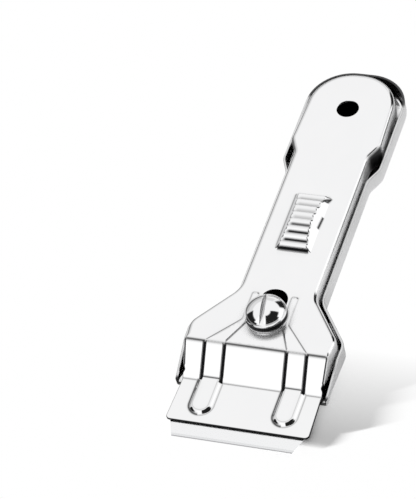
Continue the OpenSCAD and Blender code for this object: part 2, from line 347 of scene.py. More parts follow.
class MeshDraft:
    """Collects the rings, bridges and filled plates of one mesh, in fold-based millimetres."""

    def __init__(self) -> None:
        """Starts an empty draft."""
        self.points: list[Array] = []
        self.marks: dict[str, list[float]] = {BARE_AND_SHADE: [], DRAWN: []}
        self.faces: list[tuple[int, ...]] = []

    def ring(self, xy: Array, z: Values, bare: Values = 0.0, drawn: Values = 0.0) -> list[int]:
        """Adds a row of points.

        Args:
            xy: The points in plan.
            z: Their level or levels.
            bare: How dark the bare mark is there, 0 to 1, from missing plating and painted shade.
            drawn: How far the press has dulled the sheet there, 0 to 1.

        Returns:
            The points' numbers.
        """
        start = len(self.points)
        z = np.broadcast_to(z, len(xy))
        self.points += [np.array((p[0], p[1], h)) for p, h in zip(xy, z)]
        for name, value in ((BARE_AND_SHADE, bare), (DRAWN, drawn)):
            self.marks[name] += [float(v) for v in np.broadcast_to(value, len(xy))]
        return list(range(start, start + len(xy)))

    def bridge(self, a: list[int], b: list[int]) -> None:
        """Joins two closed rings of equal length with faces.

        Args:
            a: The first ring.
            b: The second ring.
        """
        for i in range(len(a)):
            j = (i + 1) % len(a)
            self.faces.append((a[i], a[j], b[j], b[i]))

    def chain(self, rings: Sequence[list[int]]) -> None:
        """Joins each ring of a row with the next one."""
        for a, b in zip(rings, rings[1:]):
            self.bridge(a, b)

    def fan(self, a: list[int], tip: int) -> None:
        """Closes a ring with faces that meet in one point."""
        for i in range(len(a)):
            self.faces.append((a[i], a[(i + 1) % len(a)], tip))

    def fill(self, rim: list[int], holes: list[list[int]], inner: Array, level: Level, bare: Level,
             drawn: Level = even(0.0)) -> None:
        """Fills a plate between its rim and its holes.

        Args:
            rim: The outer ring.
            holes: The rings of its holes.
            inner: Points that lie between them, in plan.
            level: The plate's height at a point.
            bare: How dark the bare mark is at a point, from missing plating and painted shade.
            drawn: How far the press has dulled the sheet at a point.
        """
        plan = np.array([p[:2] for p in self.points])
        rings = [rim, *holes]
        known = [i for ring in rings for i in ring]
        keep = inside(inner, plan[rim]) & (distance(inner, plan[rim]) > CLEAR)
        for hole in holes:
            keep &= ~inside(inner, plan[hole]) & (distance(inner, plan[hole]) > CLEAR)
        inner = inner[keep]
        known += self.ring(inner, *(mark(*inner.T) for mark in (level, bare, drawn)))
        flat = [Vector(self.points[i][:2]) for i in known]
        edges, start = [], 0
        for ring in rings:
            edges += [(start + i, start + (i + 1) % len(ring)) for i in range(len(ring))]
            start += len(ring)
        corners, _, faces, origins, _, _ = delaunay_2d_cdt(flat, edges, [], 1, PLAN_EPS)
        middles = np.array([np.mean([corners[i] for i in f], axis=0) for f in faces])
        open_ = np.zeros(len(faces), bool)
        for hole in holes:
            open_ |= inside(middles, plan[hole])
        for face, skip in zip(faces, open_):
            if not skip:
                self.faces.append(tuple(known[origins[i][0]] for i in face))

    def object(self, name: str, upside_down: bool = False) -> bpy.types.Object:
        """Makes the finished object, with its place in its mesh and its faces pointing outwards.

        Args:
            name: The piece's name.
            upside_down: Whether the draft was made with its underside up.

        Returns:
            The linked object.
        """
        points = np.array(self.points)
        if upside_down:
            points[:, 2] *= -1.0
        mesh = bpy.data.meshes.new(name)
        mesh.from_pydata(PLACE.to_frame(points).tolist(), [], self.faces)
        for mark, values in self.marks.items():
            layer = mesh.attributes.new(mark, "FLOAT", "POINT")
            layer.data.foreach_set("value", np.array(values, np.float32))
        draft = bmesh.new()
        draft.from_mesh(mesh)
        bmesh.ops.remove_doubles(draft, verts=draft.verts, dist=WELD_M)
        bmesh.ops.recalc_face_normals(draft, faces=draft.faces)
        draft.to_mesh(mesh)
        draft.free()
        mesh.polygons.foreach_set("use_smooth", [True] * len(mesh.polygons))
        mesh.set_sharp_from_angle(angle=math.radians(SHARP))
        return linked(name, mesh)


@dataclass
class PressedSheet:
    """A pressed plate whose rim is bent down into a wall or left as a cut edge.

    Attributes:
        loop: Plan of the outer rim, anticlockwise.
        bend: Outer bend radius at each point of the rim.
        hem: Level at which the wall ends at each point of the rim.
        skin: Level of the outer face.
        lining: Level of the inner face.
        thickness: Thickness of the sheet.
        holes: Plans of the holes, anticlockwise.
        skin_points: Grid points of the outer face.
        lining_points: Grid points of the inner face.
        skin_shade: Painted shade on the outer face.
        lining_shade: Painted shade on the inner face.
        skin_drawn: How far the outer face is dulled.
        wall_shade: Painted shade on the outside of the wall.
        edge_bare_and_shade: How dark the rim's cut edges are, from bare steel and painted shade.
        hole_bare_and_shade: How dark the holes' cut edges are, from bare steel and painted shade.
        lip_fillet: Radius of the edge of each hole.
        hem_fillet: Largest radius of the hem's edges.
        hem_gaps: Least distances from the bend down to the two rings above the hem.
        inner_r: Smallest radius of the inner bend.
        bend_steps: Straight steps in each bend.
        bend_dull: How far the upper part of a bend is dulled.
        flat: Width of the flat strip that is kept beside each bend.
    """

    loop: Array
    bend: Array
    hem: Array
    skin: Level
    lining: Level
    thickness: float
    holes: list[Array]
    skin_points: Array
    lining_points: Array
    skin_shade: Level = even(0.0)
    lining_shade: Level = even(0.0)
    skin_drawn: Level = even(0.0)
    wall_shade: Values = 0.0
    edge_bare_and_shade: Values = 1.0
    hole_bare_and_shade: float = 1.0
    lip_fillet: float = 0.15
    hem_fillet: float = 0.12
    hem_gaps: Span = (0.02, 0.03)
    inner_r: float = 0.1
    bend_steps: int = 8
    bend_dull: float = 0.08
    flat: float = 0.2

    def draft(self) -> MeshDraft:
        """Builds the sheet as one closed mesh.

        Returns:
            The draft.
        """
        made = MeshDraft()
        rim = self.rim_rings(made)
        edges = [self.hole_rings(made, hole) for hole in self.holes]
        tops, bottoms = ([rings[end] for rings in edges] for end in (0, -1))
        made.fill(rim[0], tops, self.skin_points, self.skin, self.skin_shade, self.skin_drawn)
        made.fill(rim[-1], bottoms, self.lining_points, self.lining, self.lining_shade)
        return made

    def rim_rings(self, made: MeshDraft) -> list[list[int]]:
        """Adds the outer bend, the wall, the hem and the inner bend.

        Args:
            made: The draft that takes them.

        Returns:
            Their rings, from the border of the outer face to the border of the inner one.
        """
        normal = inward(self.loop)
        hem_round = min(self.hem_fillet, self.thickness / 4.0)

        def at(d: Values) -> Array:
            """The rim's outline moved inwards."""
            return self.loop + normal * np.broadcast_to(d, len(self.loop))[:, None]

        walled = np.clip((self.lining(*self.loop.T) - self.hem) / (2.0 * self.thickness), 0.0, 1.0)
        cut = self.edge_bare_and_shade * (1.0 - smooth(3.0 * walled))
        shaded_wall = np.broadcast_to(self.wall_shade, len(self.loop))
        xy = at(self.bend + self.flat)
        rings = [made.ring(xy, self.skin(*xy.T), self.skin_shade(*xy.T), self.skin_drawn(*xy.T))]
        for k in range(self.bend_steps + 1):
            share = k / self.bend_steps
            a = math.radians(90.0 * (1.0 - share))
            xy = at(self.bend * (1.0 - math.cos(a)))
            drop = self.bend * (1.0 - math.sin(a))
            # Bend rings take the cut edge's bare steel, the face's painted shade and the wall's painted
            # shade.
            bare_and_shade_mark = np.maximum.reduce((
                cut * smooth(2.0 * share),
                self.skin_shade(*xy.T) * (1.0 - share),
                shaded_wall * smooth(2.0 * share - 0.6)))
            dull = self.bend_dull + (1.0 - self.bend_dull) * smooth(2.2 * share - 1.2)
            drawn = np.maximum(walled * dull, self.skin_drawn(*xy.T) * (1.0 - share))
            rings.append(made.ring(xy, self.skin(*xy.T) - drop, bare_and_shade_mark, drawn))
        foot = self.skin(*self.loop.T) - self.bend
        low = np.minimum(self.hem + 2.0 * hem_round, foot - self.hem_gaps[0])
        lower = np.minimum(self.hem + hem_round, foot - self.hem_gaps[1])
        under = self.hem + hem_round * walled
        rings.append(made.ring(at(0.0), low, np.maximum(cut, shaded_wall), walled))
        rings.append(made.ring(at(0.0), lower, self.edge_bare_and_shade, walled))
        rings.append(made.ring(at(hem_round), self.hem, self.edge_bare_and_shade))
        rings.append(made.ring(at(self.thickness - hem_round), self.hem, self.edge_bare_and_shade))
        rings.append(made.ring(at(self.thickness), under, self.edge_bare_and_shade))
        inner_r = np.maximum(self.bend - self.thickness, self.inner_r)
        half = self.bend_steps // 2
        for k in range(half + 1):
            a = math.radians(90.0 * k / half)
            xy = at(self.thickness + inner_r * (1.0 - math.cos(a)))
            z = self.lining(*xy.T) - inner_r * (1.0 - math.sin(a))
            z = np.where(walled > 0.0, np.maximum(z, under), self.lining(*xy.T))
            rings.append(made.ring(xy, z, self.lining_shade(*xy.T)))
        made.chain(rings)
        return rings

    def hole_rings(self, made: MeshDraft, hole: Array) -> list[list[int]]:
        """Adds the rounded edge of one hole.

        Args:
            made: The draft that takes it.
            hole: The hole's plan.

        Returns:
            Its rings, from the outer face to the inner one.
        """
        out = -inward(hole)
        xy = hole + out * (self.lip_fillet + self.flat)
        rings = [made.ring(xy, self.skin(*xy.T), 0.0, self.skin_drawn(*xy.T))]
        for t in np.radians((90.0, 60.0, 30.0, 0.0)):
            xy = hole + out * (1.0 - math.cos(t)) * self.lip_fillet
            rings.append(made.ring(xy, self.skin(*xy.T) - (1.0 - math.sin(t)) * self.lip_fillet))
        rings.append(made.ring(hole, self.lining(*hole.T) + self.lip_fillet / 2.0, self.hole_bare_and_shade))
        xy = hole + out * self.lip_fillet / 2.0
        rings.append(made.ring(xy, self.lining(*xy.T), self.hole_bare_and_shade))
        made.chain(rings)
        return rings


def lathe(profile: Sequence[tuple[float, ...]], y: float, steps: int = 96) -> MeshDraft:
    """Turns a profile about an upright axis in the tool's middle plane into a closed mesh.

    Args:
        profile: Radius and level of each point, from the lower end to the upper one, and its bare mark, which
            the screw uses for painted shade.
        y: Place of the axis along the handle.
        steps: Straight steps in one turn.

    Returns:
        The draft of the turned piece. Where no end has the radius 0, the profile is closed on itself.
    """
    made = MeshDraft()
    rings, tips = [], []
    for radius, *place in profile:
        if radius > 0.0:
            rings.append(made.ring(circle(0.0, y, radius, steps), *place))
        else:
            tips.append((len(rings), made.ring(np.array([(0.0, y)]), *place)[0]))
    made.chain(rings)
    if not tips:
        made.bridge(rings[-1], rings[0])
    for place, tip in tips:
        made.fan(rings[min(place, len(rings) - 1)], tip)
    return made


def plain_mesh(made: bpy.types.Object, weld: float = 0.0) -> None:
    """Turns an object and its modifiers into a plain mesh.

    Args:
        made: The object.
        weld: Distance in millimetres under which points become one.
    """
    depsgraph = bpy.context.evaluated_depsgraph_get()
    mesh = bpy.data.meshes.new_from_object(made.evaluated_get(depsgraph))
    made.modifiers.clear()
    old, made.data = made.data, mesh
    mesh.name = made.name
    bpy.data.meshes.remove(old)
    welded = bmesh.new()
    welded.from_mesh(mesh)
    bmesh.ops.remove_doubles(welded, verts=welded.verts, dist=weld * MM)
    welded.to_mesh(mesh)
    welded.free()


# Node trees

class Socket:
    """A node's output that takes part in Python expressions."""

    def __init__(self, graph: "Graph", end: bpy.types.NodeSocket | None) -> None:
        """Wraps one output of a graph's node."""
        self.graph = graph
        self.end = end

    def _math(self, operation: str, *values: Any) -> "Socket":
        """Adds one Math node."""
        return self.graph.node("ShaderNodeMath", {"operation": operation}, dict(enumerate(values)))

    def __add__(self, other: Any) -> "Socket":
        """Sum of two values."""
        return self._math("ADD", self, other)

    __radd__ = __add__

    def __sub__(self, other: Any) -> "Socket":
        """Difference of two values."""
        return self._math("SUBTRACT", self, other)

    def __rsub__(self, other: Any) -> "Socket":
        """Difference of a number and this value."""
        return self._math("SUBTRACT", other, self)

    def __mul__(self, other: Any) -> "Socket":
        """Product of two values."""
        return self._math("MULTIPLY", self, other)

    __rmul__ = __mul__

    def __truediv__(self, other: Any) -> "Socket":
        """Quotient of two values."""
        return self._math("DIVIDE", self, other)

    def __abs__(self) -> "Socket":
        """Size of a value."""
        return self._math("ABSOLUTE", self)

    def within(self, low: Any, high: Any) -> "Socket":
        """The value held between two limits."""
        return self._math("MINIMUM", self._math("MAXIMUM", self, low), high)

    def rounded(self) -> "Socket":
        """The nearest whole number."""
        return self._math("ROUND", self)

    def root(self) -> "Socket":
        """The square root."""
        return self._math("SQRT", self)

    def sine(self) -> "Socket":
        """The sine of an angle in radians."""
        return self._math("SINE", self)

    def turn(self, x: "Socket") -> "Socket":
        """The turn in degrees from the x axis to a point with this value as its y."""
        return self._math("ARCTAN2", self, x) * DEGREES

    def rise(self) -> "Socket":
        """The angle in degrees that has this value as its sine."""
        return self._math("ARCSINE", self.within(-1.0, 1.0)) * DEGREES

    def ease(self, low: float, high: float) -> "Socket":
        """Eases from 0 to 1 while the value goes from low to high."""
        settings = {"interpolation_type": "SMOOTHSTEP", "clamp": True}
        return self.graph.node("ShaderNodeMapRange", settings,
                               {"Value": self, "From Min": low, "From Max": high})

    def band(self, low: float, high: float, edge: float) -> "Socket":
        """One between two limits and nothing outside them, with soft edges."""
        return self.ease(low - edge, low + edge) * (1.0 - self.ease(high - edge, high + edge))


class Graph:
    """Adds nodes to one tree.

    Attributes:
        mix_inputs: Numbers of the Mix node's two colour inputs.
        mix_output: Number of its colour output.
    """

    mix_inputs: tuple[int, int] = (6, 7)
    mix_output: int = 2

    def __init__(self, tree: bpy.types.NodeTree) -> None:
        """Takes an empty or a new tree."""
        self.tree = tree

    @classmethod
    def of(cls, owner: bpy.types.Material | bpy.types.World) -> "Graph":
        """Empties the tree of a material or a world.

        Args:
            owner: The material or the world.

        Returns:
            The graph of its tree.
        """
        owner.use_nodes = True
        owner.node_tree.nodes.clear()
        return cls(owner.node_tree)

    def node(self, kind: str, settings: dict[str, Any] | None = None, sockets: dict[Any, Any] | None = None,
             out: int | str = 0) -> Socket:
        """Adds a node.

        Args:
            kind: The node's type.
            settings: Its own settings, set before its sockets.
            sockets: Values or links, by the input's name or number.
            out: The output that is wanted.

        Returns:
            That output.
        """
        made = self.tree.nodes.new(kind)
        for name, value in (settings or {}).items():
            setattr(made, name, value)
        for name, value in (sockets or {}).items():
            if isinstance(value, Socket):
                self.tree.links.new(value.end, made.inputs[name])
            else:
                made.inputs[name].default_value = value
        return Socket(self, made.outputs[out]) if len(made.outputs) else Socket(self, None)

    def mix(self, share: Socket, a: Socket | Tone, b: Socket | Tone) -> Socket:
        """Mixes two colours."""
        ends = {i: c if isinstance(c, Socket) else (*c, 1.0) for i, c in zip(self.mix_inputs, (a, b))}
        return self.node("ShaderNodeMix", {"data_type": "RGBA"}, {"Factor": share, **ends}, self.mix_output)

    def layer(self, share: Socket, under: Socket, over: Socket) -> Socket:
        """Lays one shader over another."""
        return self.node("ShaderNodeMixShader", None, {0: share, 1: under, 2: over})

    def glow(self, kind: str, strength: float) -> Socket:
        """White light of one strength, from a node of that type."""
        return self.node(kind, None, {"Color": WHITE, "Strength": strength})

    def bump(self, depth: float, height: Socket) -> Socket:
        """Relief with a depth in millimetres."""
        return self.node("ShaderNodeBump", None, {"Strength": 1.0, "Distance": depth * MM, "Height": height})

    def mark(self, name: str) -> Socket:
        """A mesh attribute."""
        return self.node("ShaderNodeAttribute", {"attribute_name": name}, out="Fac")

    def ray(self, kind: str) -> Socket:
        """Whether a ray is of one kind."""
        return self.node("ShaderNodeLightPath", out=kind)

    def parts(self, vector: Socket) -> tuple[Socket, Socket, Socket]:
        """Splits a vector into its three numbers."""
        made = self.node("ShaderNodeSeparateXYZ", None, {0: vector})
        return tuple(Socket(self, end) for end in made.end.node.outputs)

    def spot(self) -> tuple[Socket, Socket, Socket]:
        """The shaded point's place in the piece, in millimetres."""
        place = self.node("ShaderNodeTexCoord", out="Object")
        return tuple(number / MM for number in self.parts(place))


class ShapeTree:
    """A Geometry Nodes tree with named inputs that shapes one piece."""

    def __init__(self, name: str, sizes: dict[str, float]) -> None:
        """Makes the tree with its inputs and its output.

        Args:
            name: The tree's name.
            sizes: Names and values of its number inputs.
        """
        self.sizes = sizes
        self.tree = bpy.data.node_groups.new(name, "GeometryNodeTree")
        kinds = {"Geometry": "NodeSocketGeometry", "Material": "NodeSocketMaterial"}
        kinds |= dict.fromkeys(sizes, "NodeSocketFloat")
        self.known = {
            label: self.tree.interface.new_socket(label, in_out="INPUT", socket_type=kind).identifier
            for label, kind in kinds.items()}
        self.tree.interface.new_socket("Geometry", in_out="OUTPUT", socket_type="NodeSocketGeometry")
        self.graph = Graph(self.tree)
        start = self.graph.node("NodeGroupInput")
        self.given = {end.name: Socket(self.graph, end) for end in start.end.node.outputs if end.name}

    def shape(self, made: bpy.types.Object, last: Socket, paint: bpy.types.Material) -> None:
        """Ends the tree, sets its inputs and turns the piece into a plain mesh.

        Args:
            made: The piece.
            last: The shaped geometry.
            paint: The piece's material.
        """
        whole = self.graph.node("GeometryNodeRealizeInstances", None, {0: last})
        dressed = self.graph.node("GeometryNodeSetMaterial", None,
                                  {"Geometry": whole, "Material": self.given["Material"]})
        self.graph.node("NodeGroupOutput", None, {0: dressed})
        shaper = made.modifiers.new(self.tree.name, "NODES")
        shaper.node_group = self.tree
        shaper[self.known["Material"]] = paint
        for label, value in self.sizes.items():
            shaper[self.known[label]] = value
        plain_mesh(made)


# Finishes

def tinted(tone: Tone, factor: float) -> Tone:
    """A colour made darker or brighter."""
    return tuple(min(1.0, factor * c) for c in tone)


@dataclass(frozen=True)
class Finish:
    """What every finish has.

    Attributes:
        name: The material's name.
        tone: The metal's own colour.
        polish: Its roughness.
    """

    name: str
    tone: Tone
    polish: float

    def material(self) -> bpy.types.Material:
        """Builds the finish.

        Returns:
            The material.
        """
        made = bpy.data.materials.new(self.name)
        graph = Graph.of(made)
        tone, rough, relief = self.dress(graph)
        surface = graph.node("ShaderNodeBsdfPrincipled", None, {
            "Metallic": 1.0, "Base Color": tone, "Roughness": rough, "Normal": relief})
        graph.node("ShaderNodeOutputMaterial", None, {"Surface": surface})
        return made

    def dress(self, graph: Graph) -> tuple[Socket, Socket, Socket]:
        """Makes the finish's own colour, roughness and relief."""
        raise NotImplementedError

    def grain(self, graph: Graph, per_mm: Sequence[float], detail: float) -> Socket:
        """Makes noise on the piece's own coordinates.

        Args:
            graph: The material's graph.
            per_mm: How many blotches there are to a millimetre, on each axis.
            detail: How many finer layers it has.

        Returns:
            Values from 0 to 1.
        """
        place = graph.node("ShaderNodeTexCoord", out="Object")
        scale = tuple(n / MM for n in per_mm)
        scaled = graph.node("ShaderNodeMapping", None, {"Vector": place, "Scale": scale})
        return graph.node("ShaderNodeTexNoise", None, {"Vector": scaled, "Scale": 1.0, "Detail": detail})


@dataclass(frozen=True)
class PlatedSheet(Finish):
    """Bright chrome on pressed steel, with the dark tone of bare steel on cut edges and of painted shade in
    creases, gaps and insides.

    Attributes:
        bare_tone: Colour of the bare steel and of the painted shade.
        bare_polish: Roughness of the bare steel and of the painted shade.
        drawn_haze: Roughness that the press adds to drawn walls.
        cloud: How far the colour varies.
        cloud_haze: Roughness of the cloudy places.
        line_haze: Roughness of the polishing lines.
        ripple: Depth of the waves in the plating, in millimetres.
        line_share: Depth of the polishing lines, as a share of the waves.
    """

    bare_tone: Tone = (0.012, 0.012, 0.013)
    bare_polish: float = 0.5
    drawn_haze: float = 0.5
    cloud: float = 0.015
    cloud_haze: float = 0.03
    line_haze: float = 0.025
    ripple: float = 0.0012
    line_share: float = 0.06

    def dress(self, graph: Graph) -> tuple[Socket, Socket, Socket]:
        """Makes haze, polishing lines, ripples, and the bare places with the painted shade.

        Args:
            graph: The material's graph.

        Returns:
            Colour, roughness and relief.
        """
        haze = self.grain(graph, (0.11, 0.09, 0.11), 3.0)
        lines = self.grain(graph, (6.0, 0.22, 6.0), 2.0)
        waves = self.grain(graph, (0.32, 0.2, 0.32), 1.0)
        # The bare mark gives bare steel and painted shade the same dark tone and roughness.
        bare, drawn = graph.mark(BARE_AND_SHADE), graph.mark(DRAWN)
        clean = graph.mix(haze, *(tinted(self.tone, 1.0 + side * self.cloud) for side in (-1.0, 1.0)))
        plated = self.polish + self.cloud_haze * haze + self.line_haze * lines + self.drawn_haze * drawn
        rough = plated + bare * (self.bare_polish - plated)
        relief = graph.bump(self.ripple, waves + self.line_share * lines)
        return graph.mix(bare, clean, self.bare_tone), rough, relief


@dataclass(frozen=True)
class GroundBlade(Finish):
    """Bright rolled steel with a bevel that is ground across the cutting edge.

    Attributes:
        bevel: Width of the ground strip, in millimetres.
        bevel_tone: Colour of the ground strip.
        bevel_fade: Half the width of the ground strip's border, in millimetres.
        edge: Width of the honed line, in millimetres.
        edge_tone: Colour of the honed line along the edge.
        edge_fade: Half the width of the honed line's border, in millimetres.
        roll_tint: Brightness of the darkest rolling lines.
        roll_haze: Roughness of the rolling lines.
        grind_tint: Brightness of the darkest grinding marks.
        grind_haze: Roughness of the grinding marks.
        scratch: Depth of both, in millimetres.
    """

    bevel: float = 1.0
    bevel_tone: Tone = (0.84, 0.845, 0.855)
    bevel_fade: float = 0.05
    edge: float = 0.3
    edge_tone: Tone = (0.42, 0.42, 0.43)
    edge_fade: float = 0.08
    roll_tint: float = 0.97
    roll_haze: float = 0.08
    grind_tint: float = 0.85
    grind_haze: float = 0.12
    scratch: float = 0.0006

    def dress(self, graph: Graph) -> tuple[Socket, Socket, Socket]:
        """Makes rolling lines, the ground strip and its grinding marks.

        Args:
            graph: The material's graph.

        Returns:
            Colour, roughness and relief.
        """
        rolled = self.grain(graph, (0.15, 7.0, 4.0), 3.0)
        ground = self.grain(graph, (14.0, 0.4, 4.0), 2.0)
        along = graph.spot()[1] - (PLACE.edge_y - PLACE.centre_y)
        strip = 1.0 - along.ease(self.bevel - self.bevel_fade, self.bevel + self.bevel_fade)
        honed = 1.0 - along.ease(self.edge - self.edge_fade, self.edge + self.edge_fade)
        plain = graph.mix(rolled, tinted(self.tone, self.roll_tint), self.tone)
        sharp = graph.mix(ground, tinted(self.bevel_tone, self.grind_tint), self.bevel_tone)
        tone = graph.mix(honed, graph.mix(strip, plain, sharp), self.edge_tone)
        rough = self.polish + self.roll_haze * rolled + self.grind_haze * strip * ground
        return tone, rough, graph.bump(self.scratch, rolled * (1.0 - strip) + ground * strip)


@dataclass(frozen=True)
class TurnedSteel(Finish):
    """Steel with the fine rings that a lathe tool leaves.

    Attributes:
        x: Place of the turning axis across the handle, on both sides of the middle.
        y: Place of the turning axis along the handle.
        feed: Distance between two rings, in millimetres.
        ring_haze: Roughness of the rings.
        ring_deep: Depth of the rings, in millimetres.
        stain_tint: Brightness of the darkest tarnish.
        stain_haze: Roughness of the tarnish.
    """

    x: float = 0.0
    y: float = 0.0
    feed: float = 0.18
    ring_haze: float = 0.1
    ring_deep: float = 0.002
    stain_tint: float = 0.75
    stain_haze: float = 0.12

    def dress(self, graph: Graph) -> tuple[Socket, Socket, Socket]:
        """Makes the rings and a mottled tarnish.

        Args:
            graph: The material's graph.

        Returns:
            Colour, roughness and relief.
        """
        across, along, up = graph.spot()
        dx = abs(across) - self.x
        dy = along - (self.y - PLACE.centre_y)
        radius = (dx * dx + dy * dy).root()
        rings = ((radius + up) * (2.0 * math.pi / self.feed)).sine() * 0.5 + 0.5
        darkening = self.grain(graph, (0.5, 0.5, 0.5), 3.0)
        tone = graph.mix(darkening, tinted(self.tone, self.stain_tint), self.tone)
        rough = self.polish + self.ring_haze * rings + self.stain_haze * darkening
        return tone, rough, graph.bump(self.ring_deep, rings)


# Sub-assemblies

class Assembly:
    """A piece that is built, dressed and set on its body."""

    piece: str
    body: Body
    slot: Slot
    nodes: tuple[str, ...]

    def build(self) -> bpy.types.Object:
        """Builds the mesh."""
        raise NotImplementedError

    def finish(self) -> Finish:
        """Names the finish."""
        raise NotImplementedError

    def material(self) -> bpy.types.Material:
        """The finish as a material, made once."""
        finish = self.finish()
        return bpy.data.materials.get(finish.name) or finish.material()

    def dress(self, made: bpy.types.Object) -> None:
        """Gives the piece its material."""
        made.data.materials.clear()
        made.data.materials.append(self.material())

    def place(self) -> None:
        """Builds and dresses the piece and sets it on its body."""
        made = self.build()
        self.dress(made)
        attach(made, self.body.value)
        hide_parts(*self.nodes)
        log.info("%s: %d faces on %s", made.name, len(made.data.polygons), self.body.value)


@dataclass(frozen=True)
class CreaseShade:
    """A dark line of painted shade along a pressed crease or outline.

    Attributes:
        dark: How dark its middle is, 0 to 1.
        width: Distance over which it fades.
        shift: Distance of its middle from the edge that it follows.
    """

    dark: float
    width: float
    shift: float = 0.0

    def at(self, off: Array) -> Array:
        """How dark it is at a distance from the edge."""
        return self.dark * line(off - self.shift, self.width)


@dataclass
class SlidingCover(Assembly):
    """The pressed cover with its ramp, lip, beads, darts, thumb grip, slot and hanging hole."""

    piece: str = "cover_pressing"
    body: Body = Body.COVER
    slot: Slot = Slot.COVER
    nodes: tuple[str, ...] = ("sliding_cover",)

    # Outline, wall, bends and the notch in each cheek
    right_side: tuple[Corner, ...] = (
        (21.4, -22.9, 1.3), (20.9, -9.0, 1.0), (22.2, 6.9, 5.0), (11.6, 21.1, 8.0),
        (11.6, 75.4, 5.0), (14.1, 80.6, 5.0), (13.0, 109.0, 12.7))
    skirt: float = 6.5
    edge_bend: float = 1.9
    edge_bend_y: float = -0.5
    edge_bend_run: float = 3.0
    cheek_bend: float = 0.9
    cheek_bend_y: float = -6.2
    cut_round: float = 0.28
    notch_y: float = -6.3
    notch_deep: float = 0.55
    notch_w: float = 0.5

    # Folds, and grooves beside the strips on the ramp
    fold_r: float = 1.0
    foot_r: float = 0.5
    fold_fade: float = 0.4
    groove_w: float = 1.15
    groove_deep: float = 0.3
    groove_past: float = 0.3
    groove_fade: float = 0.5
    groove_steep: float = 2.2

    # Beads on the lip
    bead_w: float = 7.9
    bead_top_w: float = 4.8
    bead_h: float = 0.9
    bead_edge: float = 2.4
    bead_fillet: float = 0.12
    bead_rear: float = -8.9

    # Darts on the face
    dart_wide: float = 30.6
    dart_inner: float = 18.6
    dart_w: float = 2.2
    dart_start: float = 0.2
    dart_turn: float = 9.4
    dart_turn_r: float = 2.0
    dart_end: float = 19.8
    dart_h: float = 0.25
    dart_slope: float = 0.5
    dart_run_in: float = 1.2
    dart_side: float = 4.85
    dart_far: float = 1.0

    # Thumb grip
    grip_y: float = 36.5
    grip_len: float = 21.7
    grip_w: float = 11.0
    grip_rise: float = 2.6
    grip_crown_w: float = 7.0
    grip_round: float = 0.5
    grip_foot: float = 0.3
    grip_margin: float = 1.5
    arc_reach: float = 1.15
    end_rise: float = 0.9
    end_slope: float = 1.5
    ribs: int = 8
    rib_h: float = 0.5
    rib_w: float = 2.5
    rib_end: float = 0.55
    rib_margin: float = 0.1
    # Painted shade in the valleys between the ribs, darker at the front
    valley_rise: Span = (0.2, 0.9)
    valley_front: Span = (-4.0, 0.5)
    valley_left: Span = (0.2, 1.6)
    front_shade: float = 1.0
    rear_shade: float = 0.3

    # Slot under the screw head
    slot_w: float = 8.2
    slot_run: float = 6.5

    # Painted shade along the creases, the beads, the darts and round the grip
    fold_line: CreaseShade = CreaseShade(0.9, 0.4, 0.02)
    strip_fold_line: CreaseShade = CreaseShade(0.5, 0.4, 0.02)
    foot_line: CreaseShade = CreaseShade(0.55, 0.24)
    strip_foot_line: CreaseShade = CreaseShade(0.9, 0.24)
    bead_left_line: CreaseShade = CreaseShade(0.95, 0.32, -0.3)
    bead_right_line: CreaseShade = CreaseShade(0.5, 0.18, -0.1)
    bead_top_line: CreaseShade = CreaseShade(0.4, 0.12)
    bead_line_fade: float = 0.6
    dart_line: CreaseShade = CreaseShade(1.0, 0.17)
    dart_line_y: float = 0.3
    dart_faint: float = 0.3
    dart_bold: float = 0.55
    dart_bold_run: float = 1.5
    dart_tip: CreaseShade = CreaseShade(0.9, 0.32)
    dart_tip_at: Span = (0.75, -0.45)
    grip_front_line: CreaseShade = CreaseShade(1.0, 0.5, 0.2)
    grip_left_line: CreaseShade = CreaseShade(0.38, 0.5, 0.2)
    grip_left_past: float = 0.4
    grip_left_fade: Span = (2.0, 1.0)
    grip_rear_line: CreaseShade = CreaseShade(0.25, 0.5)
    grip_inset: Span = (0.5, 0.3)
    line_fade: float = 0.4
    flank_line: CreaseShade = CreaseShade(1.0, 0.27)
    flank_path: tuple[Span, ...] = ((5.1, 45.7), (5.3, 49.9))
    corner_line: CreaseShade = CreaseShade(1.0, 0.3)
    corner_path: tuple[Span, ...] = ((4.1, 55.4), (5.0, 55.8), (5.6, 57.5))

    # Dulled ring round the screw head, and painted shade on the wall at the handle's step
    haze_r: float = 9.6
    haze_fade: float = 1.8
    haze_dull: float = 0.6
    step_shade_front: float = 74.2
    step_shade_rear: float = 82.2
    step_shade_fade: Span = (2.4, 2.0)
    step_shade_dark: float = 0.95

    # Longest sides of the outline and the zones round the folds, and bands with rows of their own
    fold_zone: float = 0.9
    foot_zone: float = 0.7
    fold_step: float = 0.12
    front_zone: float = 2.0
    front_step: float = 0.4
    handle_step: float = 1.0
    bead_band: Span = (1.9, 4.7)
    dart_band: float = 0.7
    row_step: float = 0.25

    def fold(self, y: Array) -> Array:
        """Finds the level of the face, the ramp and the lip, with rounded folds.

        Args:
            y: Places along the handle.

        Returns:
            The levels.
        """
        face, lip, run = PLACE.face_z, PLACE.lip_top, PLACE.ramp_run
        lean = math.tan(math.radians(22.5))
        slope = math.sqrt(0.5)
        z = np.clip(face + y, lip, face)
        top = self.fold_r * lean
        arc = face - self.fold_r + np.sqrt(np.maximum(self.fold_r ** 2 - (y - top) ** 2, 0.0))
        z = np.where((y > -top * slope) & (y < top), arc, z)
        low = self.foot_r * lean
        arc = lip + self.foot_r - np.sqrt(np.maximum(self.foot_r ** 2 - (y + run + low) ** 2, 0.0))
        return np.where((y > -run - low) & (y < -run + low * slope), arc, z)

    def bead_start(self) -> float:
        """Place along the handle of the middle of the beads' round ends."""
        return PLACE.lip_front + self.bead_edge + self.bead_w / 2.0

    def bead_off(self, x: Array, y: Array) -> Array:
        """Distance from a bead's middle line."""
        return np.hypot(np.abs(x) - PLACE.bead_x, np.minimum(y - self.bead_start(), 0.0))

